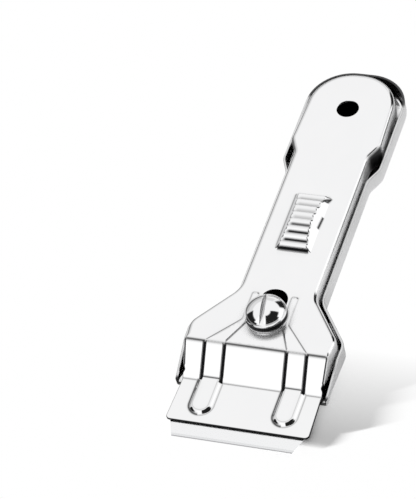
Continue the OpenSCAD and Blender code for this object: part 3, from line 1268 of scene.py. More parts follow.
    def bead(self, x: Array, y: Array) -> Array:
        """Height of the lip's beads above the lip."""
        run = (self.bead_w - self.bead_top_w) / 2.0
        return self.bead_h * smooth((self.bead_w / 2.0 - self.bead_off(x, y)) / run)

    def groove(self, x: Array, y: Array) -> Array:
        """Finds the depth of the grooves that frame the strips on the ramp.

        Args:
            x: Places across the handle.
            y: Places along the handle.

        Returns:
            Shares of the full depth, 0 to 1.
        """
        past, fade = self.groove_past, self.groove_fade
        along = smooth((past - y) / fade) * smooth((y + PLACE.ramp_run + past) / fade)
        share = np.zeros_like(x)
        for middle in (self.dart_wide / 2.0, self.dart_inner / 2.0):
            off = np.abs(np.abs(x) - middle)
            share = np.maximum(share, smooth(self.groove_steep * (1.0 - off / (self.groove_w / 2.0))))
        return share * along

    def dart_plan(self) -> Array:
        """Draws the right-hand dart.

        Returns:
            Its outline.
        """
        tip = self.dart_w / 3.0
        outer = self.dart_side + self.dart_w
        return rounded((
            (self.dart_inner / 2.0, self.dart_start, 0.0),
            (self.dart_wide / 2.0, self.dart_start, 0.0),
            (outer, self.dart_turn, self.dart_turn_r),
            (outer, self.dart_end, tip),
            (self.dart_side, self.dart_end, tip),
            (self.dart_side, self.dart_turn, self.dart_turn_r)))

    def dart_depth(self, x: Array, y: Array) -> Array:
        """Finds how far points lie inside a dart's outline.

        Args:
            x: Places across the handle.
            y: Places along the handle.

        Returns:
            The distances, less than nothing outside the outline.
        """
        far = self.dart_far
        places = spots(np.abs(x), y)
        near = (y > -far) & (y < self.dart_end + far) & (np.abs(x) < self.dart_wide / 2.0 + far)
        deep = np.full(len(places), -far)
        if near.any():
            plan = self.dart_plan()
            deep[near] = distance(places[near], plan) * np.where(inside(places[near], plan), 1.0, -1.0)
        return deep

    def dart(self, x: Array, y: Array) -> Array:
        """Height of the two darts above the face."""
        rise = smooth(self.dart_depth(x, y) / self.dart_slope)
        return self.dart_h * rise * smooth((y - self.dart_start) / self.dart_run_in)

    def crease_shade(self, x: Array, y: Array) -> Array:
        """Finds the painted shade along the folds, the grooves, the beads' and darts' outlines and round the
        grip.

        Args:
            x: Places across the handle.
            y: Places along the handle.

        Returns:
            Shares of painted shade, 0 to 1.
        """
        x, y = np.asarray(x, float), np.asarray(y, float)
        side = np.abs(x)
        strip = (side > self.dart_inner / 2.0) & (side < self.dart_wide / 2.0)
        fold = np.where(strip, self.strip_fold_line.at(y), self.fold_line.at(y))
        above = PLACE.face_z + y - PLACE.lip_top - self.bead(x, y)
        foot = np.where(strip, self.strip_foot_line.at(above), self.foot_line.at(above))
        off = self.bead_off(x, y)
        edge = off - self.bead_w / 2.0
        left = x < np.sign(x) * PLACE.bead_x
        rim = np.where(left, self.bead_left_line.at(edge), self.bead_right_line.at(edge))
        rim = np.maximum(rim, self.bead_top_line.at(off - self.bead_top_w / 2.0))
        rim = rim * smooth((-PLACE.ramp_run - y) / self.bead_line_fade + 1.0)
        front = smooth((self.dart_turn - y) / self.dart_bold_run + 0.5)
        bold = self.dart_faint + self.dart_bold * front
        dart = bold * self.dart_line.at(self.dart_depth(x, y))
        dart = dart * smooth((y - self.dart_line_y) / self.line_fade)
        middle = np.sign(x) * (self.dart_side + self.dart_w / 2.0)
        across, along = self.dart_tip_at
        tip = self.dart_tip.at(np.hypot(x - middle - across, y - self.dart_end - along))
        # The grooves' depth is painted as shade as well.
        lines = (self.groove(x, y), fold, foot, rim, dart, tip, self.grip_crease_shade(x, y))
        return np.clip(np.maximum.reduce(lines), 0.0, 1.0)

    def grip_crease_shade(self, x: Array, y: Array) -> Array:
        """Finds the painted shade round the thumb grip: a bar at its front, a soft shadow on its left, a line
        at its rear and two marks on its right side.

        Args:
            x: Places across the handle.
            y: Places along the handle.

        Returns:
            Shares of painted shade, 0 to 1.
        """
        half = self.grip_w / 2.0
        rear = self.grip_y + self.grip_len
        across = [smooth((half - inset - np.abs(x)) / self.line_fade) for inset in self.grip_inset]
        front = self.grip_front_line.at(y - self.grip_y) * across[0]
        fades = self.grip_left_fade
        along = smooth((y - self.grip_y) / fades[0]) * smooth((rear + self.grip_left_past - y) / fades[1])
        left = self.grip_left_line.at(x + half) * along
        back = self.grip_rear_line.at(y - rear) * across[1]
        places = spots(x, y)
        flank = self.flank_line.at(distance(places, np.array(self.flank_path)))
        corner = self.corner_line.at(distance(places, np.array(self.corner_path)))
        return np.maximum.reduce((front, left, back, flank, corner))

    def haze(self, x: Array, y: Array) -> Array:
        """How far the screw head has dulled the face round it, 0 to 1."""
        return self.haze_dull * smooth((self.haze_r - np.hypot(x, y - PLACE.screw_y)) / self.haze_fade)

    def darkening(self, y: Array) -> Array:
        """How dark the painted shade on the wall at the handle's step is, 0 to 1."""
        front, rear = (y - self.step_shade_front) / self.step_shade_fade[0], (self.step_shade_rear - y) / self.step_shade_fade[1]
        return self.step_shade_dark * smooth(front) * smooth(rear)

    def arch(self, x: Array, y: Array) -> Array:
        """Finds the height of the thumb grip above the face, without its ribs.

        Args:
            x: Places across the handle.
            y: Places along the handle.

        Returns:
            The heights.
        """
        half, rise = self.grip_len / 2.0, self.grip_rise - self.end_rise
        radius = (half ** 2 + rise ** 2) / (2.0 * rise)
        reach = half * self.arc_reach
        off = np.clip(y - self.grip_y - half, -reach, reach)
        along = np.sqrt(radius ** 2 - off ** 2) - radius + self.grip_rise
        along = soft_min(along, (half - np.abs(off)) * self.end_slope, self.grip_round)
        across = (self.grip_w / 2.0 - np.abs(x)) * self.flank()
        return soft_max(soft_min(along, across, self.grip_round), np.zeros_like(x), self.grip_foot)

    def flank(self) -> float:
        """Slope of the grip's sides."""
        return self.grip_rise / ((self.grip_w - self.grip_crown_w) / 2.0)

    def skin(self, x: Array, y: Array) -> Array:
        """Finds the level of the cover's outer face.

        Args:
            x: Places across the handle.
            y: Places along the handle.

        Returns:
            The levels.
        """
        x, y = np.asarray(x, float), np.asarray(y, float)
        z = self.fold(y)
        z = np.where(y < 0.0, soft_max(z, PLACE.lip_top + self.bead(x, y), self.bead_fillet), z)
        z = z - self.groove_deep * math.sqrt(2.0) * self.groove(x, y)
        half = self.grip_len / 2.0
        grip = self.arch(x, y) * (np.abs(y - self.grip_y - half) < half + self.grip_margin)
        return z + self.dart(x, y) + grip

    def lining(self, x: Array, y: Array) -> Array:
        """Finds the level of the cover's inner face.

        Args:
            x: Places across the handle.
            y: Places along the handle.

        Returns:
            The levels, never lower than the underside of the lip.
        """
        y = np.asarray(y, float)
        lean = smooth((-y - PLACE.ramp_run) / self.fold_fade + 0.5) + smooth(y / self.fold_fade + 0.5)
        thick = PLACE.sheet * (1.0 + (math.sqrt(2.0) - 1.0) * (1.0 - np.clip(lean, 0.0, 1.0)))
        return np.maximum(self.skin(x, y) - thick, PLACE.lip_top - PLACE.sheet)

    def step(self, y: float) -> float:
        """Finds the longest side of the rim's outline.

        Args:
            y: The side's place along the handle.

        Returns:
            Its largest length, smaller at the folds.
        """
        if abs(y) < self.fold_zone or abs(y + PLACE.ramp_run) < self.foot_zone:
            return self.fold_step
        return self.front_step if y < self.front_zone else self.handle_step

    def grid(self) -> Array:
        """Lays grid points on the outer face.

        Returns:
            The points, close together where the face is shaped.
        """
        fold_x = mirrored((0.0, 8.0, 0.8), (8.0, 17.0, 0.15), (17.0, 22.0, 0.8))
        ramp_x = mirrored((0.0, 8.4, 1.4), (8.4, 10.2, 0.1), (10.2, 14.4, 1.0), (14.4, 16.2, 0.1),
                          (16.2, 22.0, 1.0))
        dart_x = mirrored((9.6, 15.0, 0.6))
        grip_x = mirrored((0.0, 6.4, 0.16), (6.4, 12.0, 1.5))
        flat_x = mirrored((0.0, 22.0, 2.0))
        lip = lattice(mirrored((0.0, 22.0, 0.9)), axis((-22.4, self.bead_rear, 0.9)))
        off = self.bead_off(*lip.T)
        face = lattice(mirrored((0.0, 22.0, 1.0)), axis((1.1, 21.0, 1.0)))
        bands = (
            (fold_x, axis((-8.85, -7.9, 0.08), (-7.9, -6.8, 0.12))),
            (ramp_x, axis((-6.8, -0.6, 0.4), (-0.55, 0.95, 0.07))),
            (dart_x, axis((1.1, 2.0, 0.15))),
            (flat_x, axis((22.0, 35.0, 2.0))),
            (grip_x, axis((35.8, 59.6, 0.12))),
            (flat_x, axis((61.0, 108.5, 2.0))))
        places = [lattice(xs, ys) for xs, ys in bands]
        low, high = self.bead_band
        places += [lip[(off < low) | (off > high)], face[np.abs(self.dart_depth(*face.T)) > self.dart_band]]
        return np.concatenate((*places, self.bead_rows(), self.dart_rows()))

    def bead_rows(self) -> Array:
        """Lays grid points round the beads' slopes.

        Returns:
            The points, row by row.
        """
        rows, step, start = [], self.row_step, self.bead_start()
        for radius in (4.4, 4.25, 4.1, 3.95, 3.8, 3.6, 3.3, 3.0, 2.7, 2.5, 2.35, 2.2):
            t = math.pi + np.arange(0.0, 1.0001, step / (math.pi * radius)) * math.pi
            rows.append(spots(radius * np.cos(t), start + radius * np.sin(t)))
            rows.append(lattice(np.array((-radius, radius)), np.arange(start + step, self.bead_rear, step)))
        return twin(np.concatenate(rows) + (PLACE.bead_x, 0.0))

    def dart_rows(self) -> Array:
        """Lays grid points along the darts' outlines.

        Returns:
            The points, row by row.
        """
        plan = resampled(self.dart_plan(), lambda y: self.row_step)
        right = np.concatenate([plan + inward(plan) * d for d in (-0.3, -0.15, 0.0, 0.15, 0.3, 0.45)])
        return twin(right[right[:, 1] > self.dart_line_y])

    def lining_grid(self) -> Array:
        """Lays grid points on the inner face.

        Returns:
            The points.
        """
        wide = mirrored((0.0, 22.0, 0.8))
        bands = (
            (wide, axis((-22.4, -9.0, 0.8))),
            (wide, axis((-8.9, 1.0, 0.2))),
            (wide, axis((1.2, 21.0, 0.8))),
            (mirrored((0.0, 12.0, 0.7)), axis((22.0, 60.0, 0.7))),
            (mirrored((0.0, 14.0, 2.5)), axis((61.0, 108.0, 2.5))))
        return np.concatenate([lattice(xs, ys) for xs, ys in bands])

    def build(self) -> bpy.types.Object:
        """Builds the pressing and raises the ribs on its grip.

        Returns:
            The piece.
        """
        loop = resampled(rounded(both_sides(self.right_side)), self.step)
        y = loop[:, 1]
        bend = self.cut_round + (self.cheek_bend - self.cut_round) * smooth(y - self.cheek_bend_y)
        bend = bend + (self.edge_bend - self.cheek_bend) * smooth((y - self.edge_bend_y) / self.edge_bend_run)
        hem = np.minimum(PLACE.face_z - self.skirt, self.lining(*loop.T))
        notch = self.notch_deep * line(y - self.notch_y, self.notch_w)
        loop = loop - np.sign(loop[:, :1]) * notch[:, None] * (1.0, 0.0)
        slot = stadium(PLACE.screw_y, PLACE.screw_y + self.slot_run, self.slot_w / 2.0)
        # Painted shade: crease lines on the face, the whole inside, and the wall at the handle's step.
        sheet = PressedSheet(
            loop=loop, bend=bend, hem=hem, skin=self.skin, lining=self.lining, thickness=PLACE.sheet,
            holes=[slot, circle(0.0, PLACE.hole_y, PLACE.hole_d / 2.0)],
            skin_points=self.grid(), lining_points=self.lining_grid(), skin_shade=self.crease_shade,
            lining_shade=even(1.0), skin_drawn=self.haze, wall_shade=self.darkening(y))
        made = sheet.draft().object(self.piece)
        self.raise_ribs(made)
        return made

    def raise_ribs(self, made: bpy.types.Object) -> None:
        """Raises the cross ribs out of the grip's crown with a node tree, and paints shade into the valleys,
        darker at the front.

        Args:
            made: The pressing without its ribs.
        """
        pitch = self.grip_len / self.ribs
        tree = ShapeTree("grip_ribs", {
            "First Rib": (self.grip_y + pitch / 2.0 - PLACE.centre_y) * MM,
            "Rib Pitch": pitch * MM,
            "Last Rib": float(self.ribs - 1),
            "Rib Width": self.rib_w * MM,
            "Rib Height": self.rib_h * MM,
            "Front Shade": self.front_shade,
            "Rear Shade": self.rear_shade,
            "Middle": (self.grip_y + self.grip_len / 2.0 - PLACE.centre_y) * MM,
            "Foot Half Width": self.grip_w / 2.0 * MM,
            "Flank Slope": self.flank(),
            "Face Level": PLACE.face_z * MM})
        graph, given = tree.graph, tree.given
        x, y, z = graph.parts(graph.node("GeometryNodeInputPosition"))
        number = (y - given["First Rib"]) / given["Rib Pitch"]
        nearest = number.rounded().within(0.0, given["Last Rib"])
        off = abs(number - nearest) * given["Rib Pitch"] / (given["Rib Width"] * 0.5)
        crown = given["Foot Half Width"] - (z - given["Face Level"]) / given["Flank Slope"]
        ends = ((crown - abs(x)) / MM).ease(0.0, self.rib_end)
        rib = (1.0 - off).ease(0.0, 1.0)
        push = graph.node("ShaderNodeVectorMath", {"operation": "SCALE"}, {
            0: graph.node("GeometryNodeInputNormal"), "Scale": rib * ends * given["Rib Height"]})
        above = graph.node("FunctionNodeCompare", {"operation": "GREATER_THAN"},
                           {"A": z, "B": given["Face Level"] - self.rib_margin * MM})
        # Painted shade in the valleys, darker at the front half, added to the bare mark
        raised = ((z - given["Face Level"]) / MM).ease(*self.valley_rise)
        front = 1.0 - ((y - given["Middle"]) / MM).ease(*self.valley_front)
        start = ((crown + x) / MM).ease(*self.valley_left)
        valley = (1.0 - rib) * (1.0 - rib) * (1.0 - rib) * ends * start * raised
        valley = valley * (given["Rear Shade"] + front * (given["Front Shade"] - given["Rear Shade"]))
        shade = graph.node("GeometryNodeInputNamedAttribute", {"data_type": "FLOAT"}, {"Name": BARE_AND_SHADE})
        shade = (shade + valley).within(0.0, 1.0)
        shaded = graph.node("GeometryNodeStoreNamedAttribute", {"data_type": "FLOAT", "domain": "POINT"}, {
            "Geometry": given["Geometry"], "Selection": above, "Name": BARE_AND_SHADE, "Value": shade})
        moved = graph.node("GeometryNodeSetPosition", None,
                           {"Geometry": shaded, "Selection": above, "Offset": push})
        tree.shape(made, moved, self.material())

    def finish(self) -> Finish:
        """Bright chrome."""
        return PlatedSheet("cover_plating", (0.9, 0.9, 0.905), 0.045)


@dataclass
class BaseShell(Assembly):
    """The pressed tray under the cover, with its rim, horns, blade platform and hanging hole."""

    piece: str = "base_pressing"
    body: Body = Body.BASE
    slot: Slot = Slot.BASE
    nodes: tuple[str, ...] = ("base_shell",)

    # Outline, wall, horns and bends
    right_side: tuple[Corner, ...] = (
        (20.0, -20.9, 2.0), (20.0, -9.6, 0.6), (22.8, -9.6, 0.9), (23.49, 8.3, 5.0), (12.9, 22.5, 8.0),
        (12.9, 69.5, 5.0), (15.4, 74.7, 5.0), (15.4, 112.5, 13.0))
    rim_h: float = 6.0
    horn_x: float = 22.2
    horn_y: float = -9.6
    horn_h: float = 1.9
    horn_start: float = 3.0
    horn_fade: Span = (0.4, 0.3)
    edge_bend: float = 1.6
    edge_bend_from: float = 1.8
    edge_bend_run: float = 1.5
    cut_round: float = 0.2

    # Holes for the bush and the pegs
    foot_hole_d: float = 7.4
    peg_hole_d: float = 2.2
    hole_fillet: float = 0.1

    # Painted shade on the rim's cut edges, the horns' tips, the tail and inside the tray
    rim_edge_shade: float = 0.25
    tip_edge_shade: float = 0.9
    tip_x: float = 20.5
    tip_run: float = 1.1
    tail_y: float = 99.0
    tail_run: float = 3.0
    inner_shade_inset: float = 2.2
    inner_shade_fade: float = 2.0
    rear_shade_turn: float = 37.0
    rear_shade_turn_fade: float = 10.0
    rear_shade_start: float = -4.0

    # Distances between grid points, and the longest sides of the outline
    grid_step: float = 1.5
    horn_zone: float = 1.2
    horn_step: float = 0.15
    handle_step: float = 1.0

    def rim(self, loop: Array) -> Array:
        """Finds the height of the wall.

        Args:
            loop: The outline's points.

        Returns:
            The height at each point.
        """
        x, y = np.abs(loop[:, 0]), loop[:, 1]
        share = (y - self.horn_y) / (self.horn_start - self.horn_y)
        wall = np.clip(self.horn_h + (self.rim_h - self.horn_h) * share, self.horn_h, self.rim_h)
        horn = smooth((x - self.horn_x) / self.horn_fade[0]) * smooth((y - self.horn_y) / self.horn_fade[1])
        return PLACE.sheet + (wall - PLACE.sheet) * np.where(y > 0.0, 1.0, horn)

    def step(self, y: float) -> float:
        """Longest side of the rim's outline at a place along the handle."""
        return self.horn_step if abs(y - self.horn_y) < self.horn_zone else self.handle_step

    def build(self) -> bpy.types.Object:
        """Builds the tray upside down, so that its walls hang from its underside, and turns it over.

        Returns:
            The piece.
        """
        loop = resampled(rounded(both_sides(self.right_side)), self.step)
        rim = self.rim(loop)
        walled = smooth((rim - self.edge_bend_from) / self.edge_bend_run)
        bend = self.cut_round + (self.edge_bend - self.cut_round) * walled
        grid = lattice(mirrored((0.0, 24.0, self.grid_step)), axis((-20.0, 112.0, self.grid_step)))
        feet = [circle(side * PLACE.bead_x, PLACE.peg_y, self.peg_hole_d / 2.0, 32) for side in (-1.0, 1.0)]
        # Painted shade on the cut edges: faint along the rim, dark at the horns' tips and round the tail
        tips = (loop[:, 1] < self.horn_y + self.tip_run) & (np.abs(loop[:, 0]) > self.tip_x)
        bare_and_shade_mark = np.maximum(np.where(tips, self.tip_edge_shade, self.rim_edge_shade),
                          self.tip_edge_shade * smooth((loop[:, 1] - self.tail_y) / self.tail_run))

        def painted_inner_shade(x: Array, y: Array) -> Array:
            """Finds the painted shade inside the tray, in its middle and at its rear.

            Args:
                x: Places across the handle.
                y: Places along the handle.

            Returns:
                Shares of painted shade, 0 to 1.
            """
            inner = smooth((distance(spots(x, y), loop) - self.inner_shade_inset) / self.inner_shade_fade)
            behind = y - self.tail_y
            turn = np.degrees(np.arctan2(behind, x))
            rear = smooth((turn - self.rear_shade_turn) / self.rear_shade_turn_fade)
            return np.maximum(inner, rear * smooth((behind - self.rear_shade_start) / self.tail_run))

        sheet = PressedSheet(
            loop=loop, bend=bend, hem=-rim, skin=even(0.0), lining=even(-PLACE.sheet), thickness=PLACE.sheet,
            holes=[circle(0.0, PLACE.hole_y, PLACE.hole_d / 2.0),
                   circle(0.0, PLACE.screw_y, self.foot_hole_d / 2.0), *feet],
            skin_points=grid, lining_points=grid, lining_shade=painted_inner_shade, edge_bare_and_shade=bare_and_shade_mark, hole_bare_and_shade=0.0,
            lip_fillet=self.hole_fillet)
        return sheet.draft().object(self.piece, upside_down=True)

    def finish(self) -> Finish:
        """Bright chrome."""
        return PlatedSheet("base_plating", (0.88, 0.88, 0.885), 0.06)


@dataclass
class RazorBlade(Assembly):
    """The blade with slanted front corners and a ground cutting edge."""

    piece: str = "blade"
    body: Body = Body.BASE
    slot: Slot = Slot.BLADE
    nodes: tuple[str, ...] = ("razor_blade",)
    width: float = 39.8
    edge_w: float = 35.8
    front_r: float = 0.5
    rear_r: float = 0.4
    bevel: float = 1.0
    edge_share: float = 0.08
    rim_round: float = 0.008
    rim_w: float = 0.05
    hole_d: float = 3.1
    hole_fillet: float = 0.03
    side_step: float = 0.8

    def half(self, y: Array) -> Array:
        """Half the blade's thickness along its depth."""
        share = (np.asarray(y, float) - PLACE.edge_y) / self.bevel
        return PLACE.blade_t / 2.0 * np.clip(share, self.edge_share, 1.0)

    def build(self) -> bpy.types.Object:
        """Builds the blade.

        Returns:
            The piece.
        """
        middle = PLACE.blade_z + PLACE.blade_t / 2.0
        side = self.width / 2.0
        corners = both_sides((
            (self.edge_w / 2.0, PLACE.edge_y, 0.0),
            (side, PLACE.lip_front, self.front_r),
            (side, PLACE.blade_back, self.rear_r)))
        loop = resampled(rounded(corners), lambda y: self.side_step)

        def skin(x: Array, y: Array) -> Array:
            """Level of the blade's upper face."""
            return middle + self.half(y)

        def lining(x: Array, y: Array) -> Array:
            """Level of the blade's lower face."""
            return middle - self.half(y)

        edge = PLACE.edge_y
        rows = axis((edge + 0.2, edge + 1.4, 0.2), (edge + 1.6, PLACE.blade_back, 1.5))
        grid = lattice(mirrored((0.0, 20.0, 1.5)), rows)
        sheet = PressedSheet(
            loop=loop, bend=np.full(len(loop), self.rim_round), hem=lining(*loop.T), skin=skin, lining=lining,
            thickness=self.rim_w,
            holes=[circle(s * PLACE.bead_x, PLACE.peg_y, self.hole_d / 2.0, 40) for s in (-1.0, 1.0)],
            skin_points=grid, lining_points=grid, edge_bare_and_shade=0.0, hole_bare_and_shade=0.0, lip_fillet=self.hole_fillet,
            bend_steps=2)
        return sheet.draft().object(self.piece)

    def finish(self) -> Finish:
        """Rolled and ground steel."""
        return GroundBlade("blade_ground", (0.9, 0.903, 0.91), 0.16, bevel=self.bevel)


@dataclass
class ClampScrew(Assembly):
    """The round-head screw with its driver slot."""

    piece: str = "screw"
    body: Body = Body.SCREW
    slot: Slot = Slot.SCREW
    nodes: tuple[str, ...] = ("clamp_screw",)
    head_d: float = 12.3
    head_z: float = 9.95
    head_h: float = 6.1
    brim: float = 3.0
    brim_r: float = 3.0
    brim_steps: int = 12
    dome_steps: int = 20
    turn_steps: int = 128
    shank_d: float = 4.9
    shank_z: float = 1.4
    shank_chamfer: float = 0.5
    neck: float = 0.3
    under_edge: tuple[Span, ...] = ((0.35, 0.0), (0.12, 0.06))
    side_rows: tuple[float, ...] = (0.3, 0.55, 0.95, 1.4)
    # Dark band of painted shade on the head's side
    shade_band_z: Span = (10.3, 12.55)
    shade_band_fade: float = 0.4
    slot_w: float = 1.3
    slot_deep: float = 2.7
    slot_turn: float = 7.0
    slot_shade: float = 0.5
    slot_upright: float = 0.9
    slot_bevel: float = 0.07
    bevel_angle: float = 50.0
    sharp: float = 40.0
    weld: float = 0.003

    def profile(self) -> list[tuple[float, float, float]]:
        """Draws the turned outline, from the shank's end to the top of the dome.

        Returns:
            Radius, level and painted shade of each point: a dark band on the head's side.
        """
        r, shank, under = self.head_d / 2.0, self.shank_d / 2.0, self.head_z
        points = [
            (0.0, self.shank_z), (shank - self.shank_chamfer, self.shank_z),
            (shank, self.shank_z + self.shank_chamfer), (shank, under - self.neck), (shank, under)]
        points += [(r - inset, under + up) for inset, up in self.under_edge]
        points += [(r, under + up) for up in self.side_rows]
        dome = self.head_h - self.brim
        radius = (r * r + dome * dome) / (2.0 * dome)
        top = under + self.head_h
        reach = radius - self.brim_r
        limit = math.asin((r - self.brim_r) / reach)
        spot = (reach * math.sin(limit), top - radius + reach * math.cos(limit))
        level = math.radians(90.0)
        for k in range(self.brim_steps + 1):
            a = level + (limit - level) * k / self.brim_steps
            points.append((spot[0] + self.brim_r * math.sin(a), spot[1] + self.brim_r * math.cos(a)))
        for k in range(1, self.dome_steps + 1):
            a = limit * (1.0 - k / self.dome_steps)
            points.append((radius * math.sin(a), top - radius + radius * math.cos(a)))
        points[-1] = (0.0, top)
        low, high = self.shade_band_z
        fade = self.shade_band_fade
        return [(p, z, float(smooth((high - z) / fade) * smooth((z - low) / fade))) for p, z in points]

    def build(self) -> bpy.types.Object:
        """Turns the screw and mills its driver slot.

        Returns:
            The piece.
        """
        made = lathe(self.profile(), PLACE.screw_y, self.turn_steps).object(self.piece)
        turn = Matrix.Rotation(math.radians(self.slot_turn), 4, "Z")
        driver = self.driver(turn)
        mill = made.modifiers.new("mill", "BOOLEAN")
        mill.operation, mill.solver, mill.object = "DIFFERENCE", "EXACT", driver
        soften = made.modifiers.new("soften", "BEVEL")
        soften.width, soften.segments, soften.limit_method = self.slot_bevel * MM, 2, "ANGLE"
        soften.angle_limit = math.radians(self.bevel_angle)
        plain_mesh(made, self.weld)
        bpy.data.objects.remove(driver)
        made.data.set_sharp_from_angle(angle=math.radians(self.sharp))
        self.shade_slot(made.data, turn @ Vector((1.0, 0.0, 0.0)))
        return made

    def driver(self, turn: Matrix) -> bpy.types.Object:
        """Makes the block that mills the slot.

        Args:
            turn: The slot's turn about the screw's axis.

        Returns:
            The block, which is removed after the milling.
        """
        size = (self.slot_w, 2.0 * self.head_d, 2.0 * self.slot_deep)
        top = self.head_z + self.head_h
        tool = bmesh.new()
        bmesh.ops.create_cube(tool, size=1.0)
        for v in tool.verts:
            spot = turn @ Vector(c * s for c, s in zip(v.co, size))
            v.co = Vector(PLACE.to_frame((spot.x, spot.y + PLACE.screw_y, spot.z + top)))
        mesh = bpy.data.meshes.new("driver")
        tool.to_mesh(mesh)
        tool.free()
        return linked("driver", mesh)

    def shade_slot(self, mesh: bpy.types.Mesh, across: Vector) -> None:
        """Paints shade on the upright sides of the driver slot.

        Args:
            mesh: The milled screw.
            across: The direction across the slot.
        """
        middle = Vector(PLACE.to_frame((0.0, PLACE.screw_y, 0.0)))
        bottom = (self.head_z + self.head_h - self.slot_deep) * MM
        turned = np.zeros(len(mesh.vertices), np.float32)
        mesh.attributes[BARE_AND_SHADE].data.foreach_get("value", turned)
        corners = np.zeros(len(mesh.loops), np.int32)
        mesh.loops.foreach_get("vertex_index", corners)
        shade = turned[corners]
        for face in mesh.polygons:
            off = abs((face.center - middle).dot(across))
            upright = abs(face.normal.dot(across)) > self.slot_upright
            if upright and off < self.slot_w * MM and face.center.z > bottom:
                shade[list(face.loop_indices)] = self.slot_shade
        mesh.attributes.remove(mesh.attributes[BARE_AND_SHADE])
        mesh.attributes.new(BARE_AND_SHADE, "FLOAT", "CORNER").data.foreach_set("value", shade)

    def finish(self) -> Finish:
        """Polished chrome."""
        return PlatedSheet("screw_plating", (0.9, 0.9, 0.905), 0.04, ripple=0.0004)


@dataclass
class ThreadedBush(Assembly):
    """The riveted pillar that takes the screw and carries the cover."""

    piece: str = "bush"
    body: Body = Body.BASE
    slot: Slot = Slot.TURNED
    nodes: tuple[str, ...] = ("threaded_bush",)
    bore_d: float = 5.0
    foot_d: float = 7.4
    barrel_d: float = 11.0
    barrel_top: float = 9.15
    shoulder_d: float = 8.0
    shoulder_top: float = 9.85
    chamfer: float = 0.25

    def build(self) -> bpy.types.Object:
        """Turns the bush.

        Returns:
            The piece.
        """
        diameters = (self.bore_d, self.foot_d, self.barrel_d, self.shoulder_d)
        bore, foot, barrel, shoulder = (d / 2.0 for d in diameters)
        c, sheet, step, top = self.chamfer, PLACE.sheet, self.barrel_top, self.shoulder_top
        profile = [
            (bore, c), (bore + c, 0.0), (foot - c, 0.0), (foot, c / 2.0), (foot, sheet), (barrel - c, sheet),
            (barrel, sheet + c), (barrel, step - c), (barrel - c, step), (shoulder, step),
            (shoulder, top - c / 2.0), (shoulder - c / 2.0, top), (bore + c, top), (bore, top - c)]
        return lathe(profile, PLACE.screw_y).object(self.piece)

    def finish(self) -> Finish:
        """Turned steel."""
        return TurnedSteel("bush_turned", (0.55, 0.55, 0.56), 0.25, y=PLACE.screw_y)


@dataclass
class BladePegs(Assembly):
    """The two riveted pegs that hold the blade."""

    piece: str = "pegs"
    body: Body = Body.BASE
    slot: Slot = Slot.TURNED
    nodes: tuple[str, ...] = ("blade_pegs",)
    foot_d: float = 2.2
    foot_chamfer: float = 0.1
    peg_d: float = 3.0
    rise: float = 0.5
    crown: tuple[Span, ...] = ((0.0, 0.3), (0.1, 0.12), (0.3, 0.02))
    turn_steps: int = 48

    def build(self) -> bpy.types.Object:
        """Turns one peg and sets it at both places with a node tree.

        Returns:
            The piece.
        """
        foot, peg, c = self.foot_d / 2.0, self.peg_d / 2.0, self.foot_chamfer
        base = PLACE.blade_z
        top = base + PLACE.blade_t + self.rise
        profile = [(0.0, 0.0), (foot - c, 0.0), (foot, c), (foot, base), (peg, base)]
        profile += [(peg - inset, top - drop) for inset, drop in self.crown]
        profile += [(0.0, top)]
        made = lathe(profile, PLACE.peg_y, self.turn_steps).object(self.piece)
        tree = ShapeTree("peg_pair", {"Half Spread": PLACE.bead_x * MM})
        graph, given = tree.graph, tree.given
        first, step = (graph.node("ShaderNodeCombineXYZ", None, {"X": given["Half Spread"] * times})
                       for times in (-1.0, 2.0))
        places = graph.node("GeometryNodeMeshLine", {"mode": "OFFSET"},
                            {"Count": 2, "Start Location": first, "Offset": step})
        pegs = graph.node("GeometryNodeInstanceOnPoints", None,
                          {"Points": places, "Instance": given["Geometry"]})
        tree.shape(made, pegs, self.material())
        return made

    def finish(self) -> Finish:
        """Turned steel."""
        return TurnedSteel("peg_turned", (0.6, 0.6, 0.61), 0.25, x=PLACE.bead_x, y=PLACE.peg_y, feed=0.12)


# Studio

@dataclass(frozen=True)
class Patch:
    """A patch of the studio that polished metal mirrors.

    Attributes:
        turn: Lowest and highest turn about the upright, in degrees from the right, anticlockwise.
        rise: Lowest and highest angle above the floor, in degrees.
        value: Its brightness.
        turn_edge: Half the width of its soft upright edges, in degrees.
        rise_edge: Half the width of its soft level edges, in degrees.
    """

    turn: Span
    rise: Span
    value: float
    turn_edge: float = 4.0
    rise_edge: float = 3.0

    def mask(self, turn: Socket, rise: Socket) -> Socket:
        """Marks the directions in which the patch lies.

        Args:
            turn: A direction's turn about the upright, from -180 to 180 degrees.
            rise: Its angle above the floor, in degrees.

        Returns:
            One inside the patch and nothing outside it.
        """
        parts = []
        for lap in (0.0, -360.0):
            low, high = (t + lap for t in self.turn)
            if high >= -180.0 and low <= 180.0:
                parts.append(turn.band(max(low, -200.0), min(high, 200.0), self.turn_edge))
        whole = parts[0] if len(parts) == 1 else (parts[0] + parts[1]).within(0.0, 1.0)
        return whole * rise.band(*self.rise, self.rise_edge)


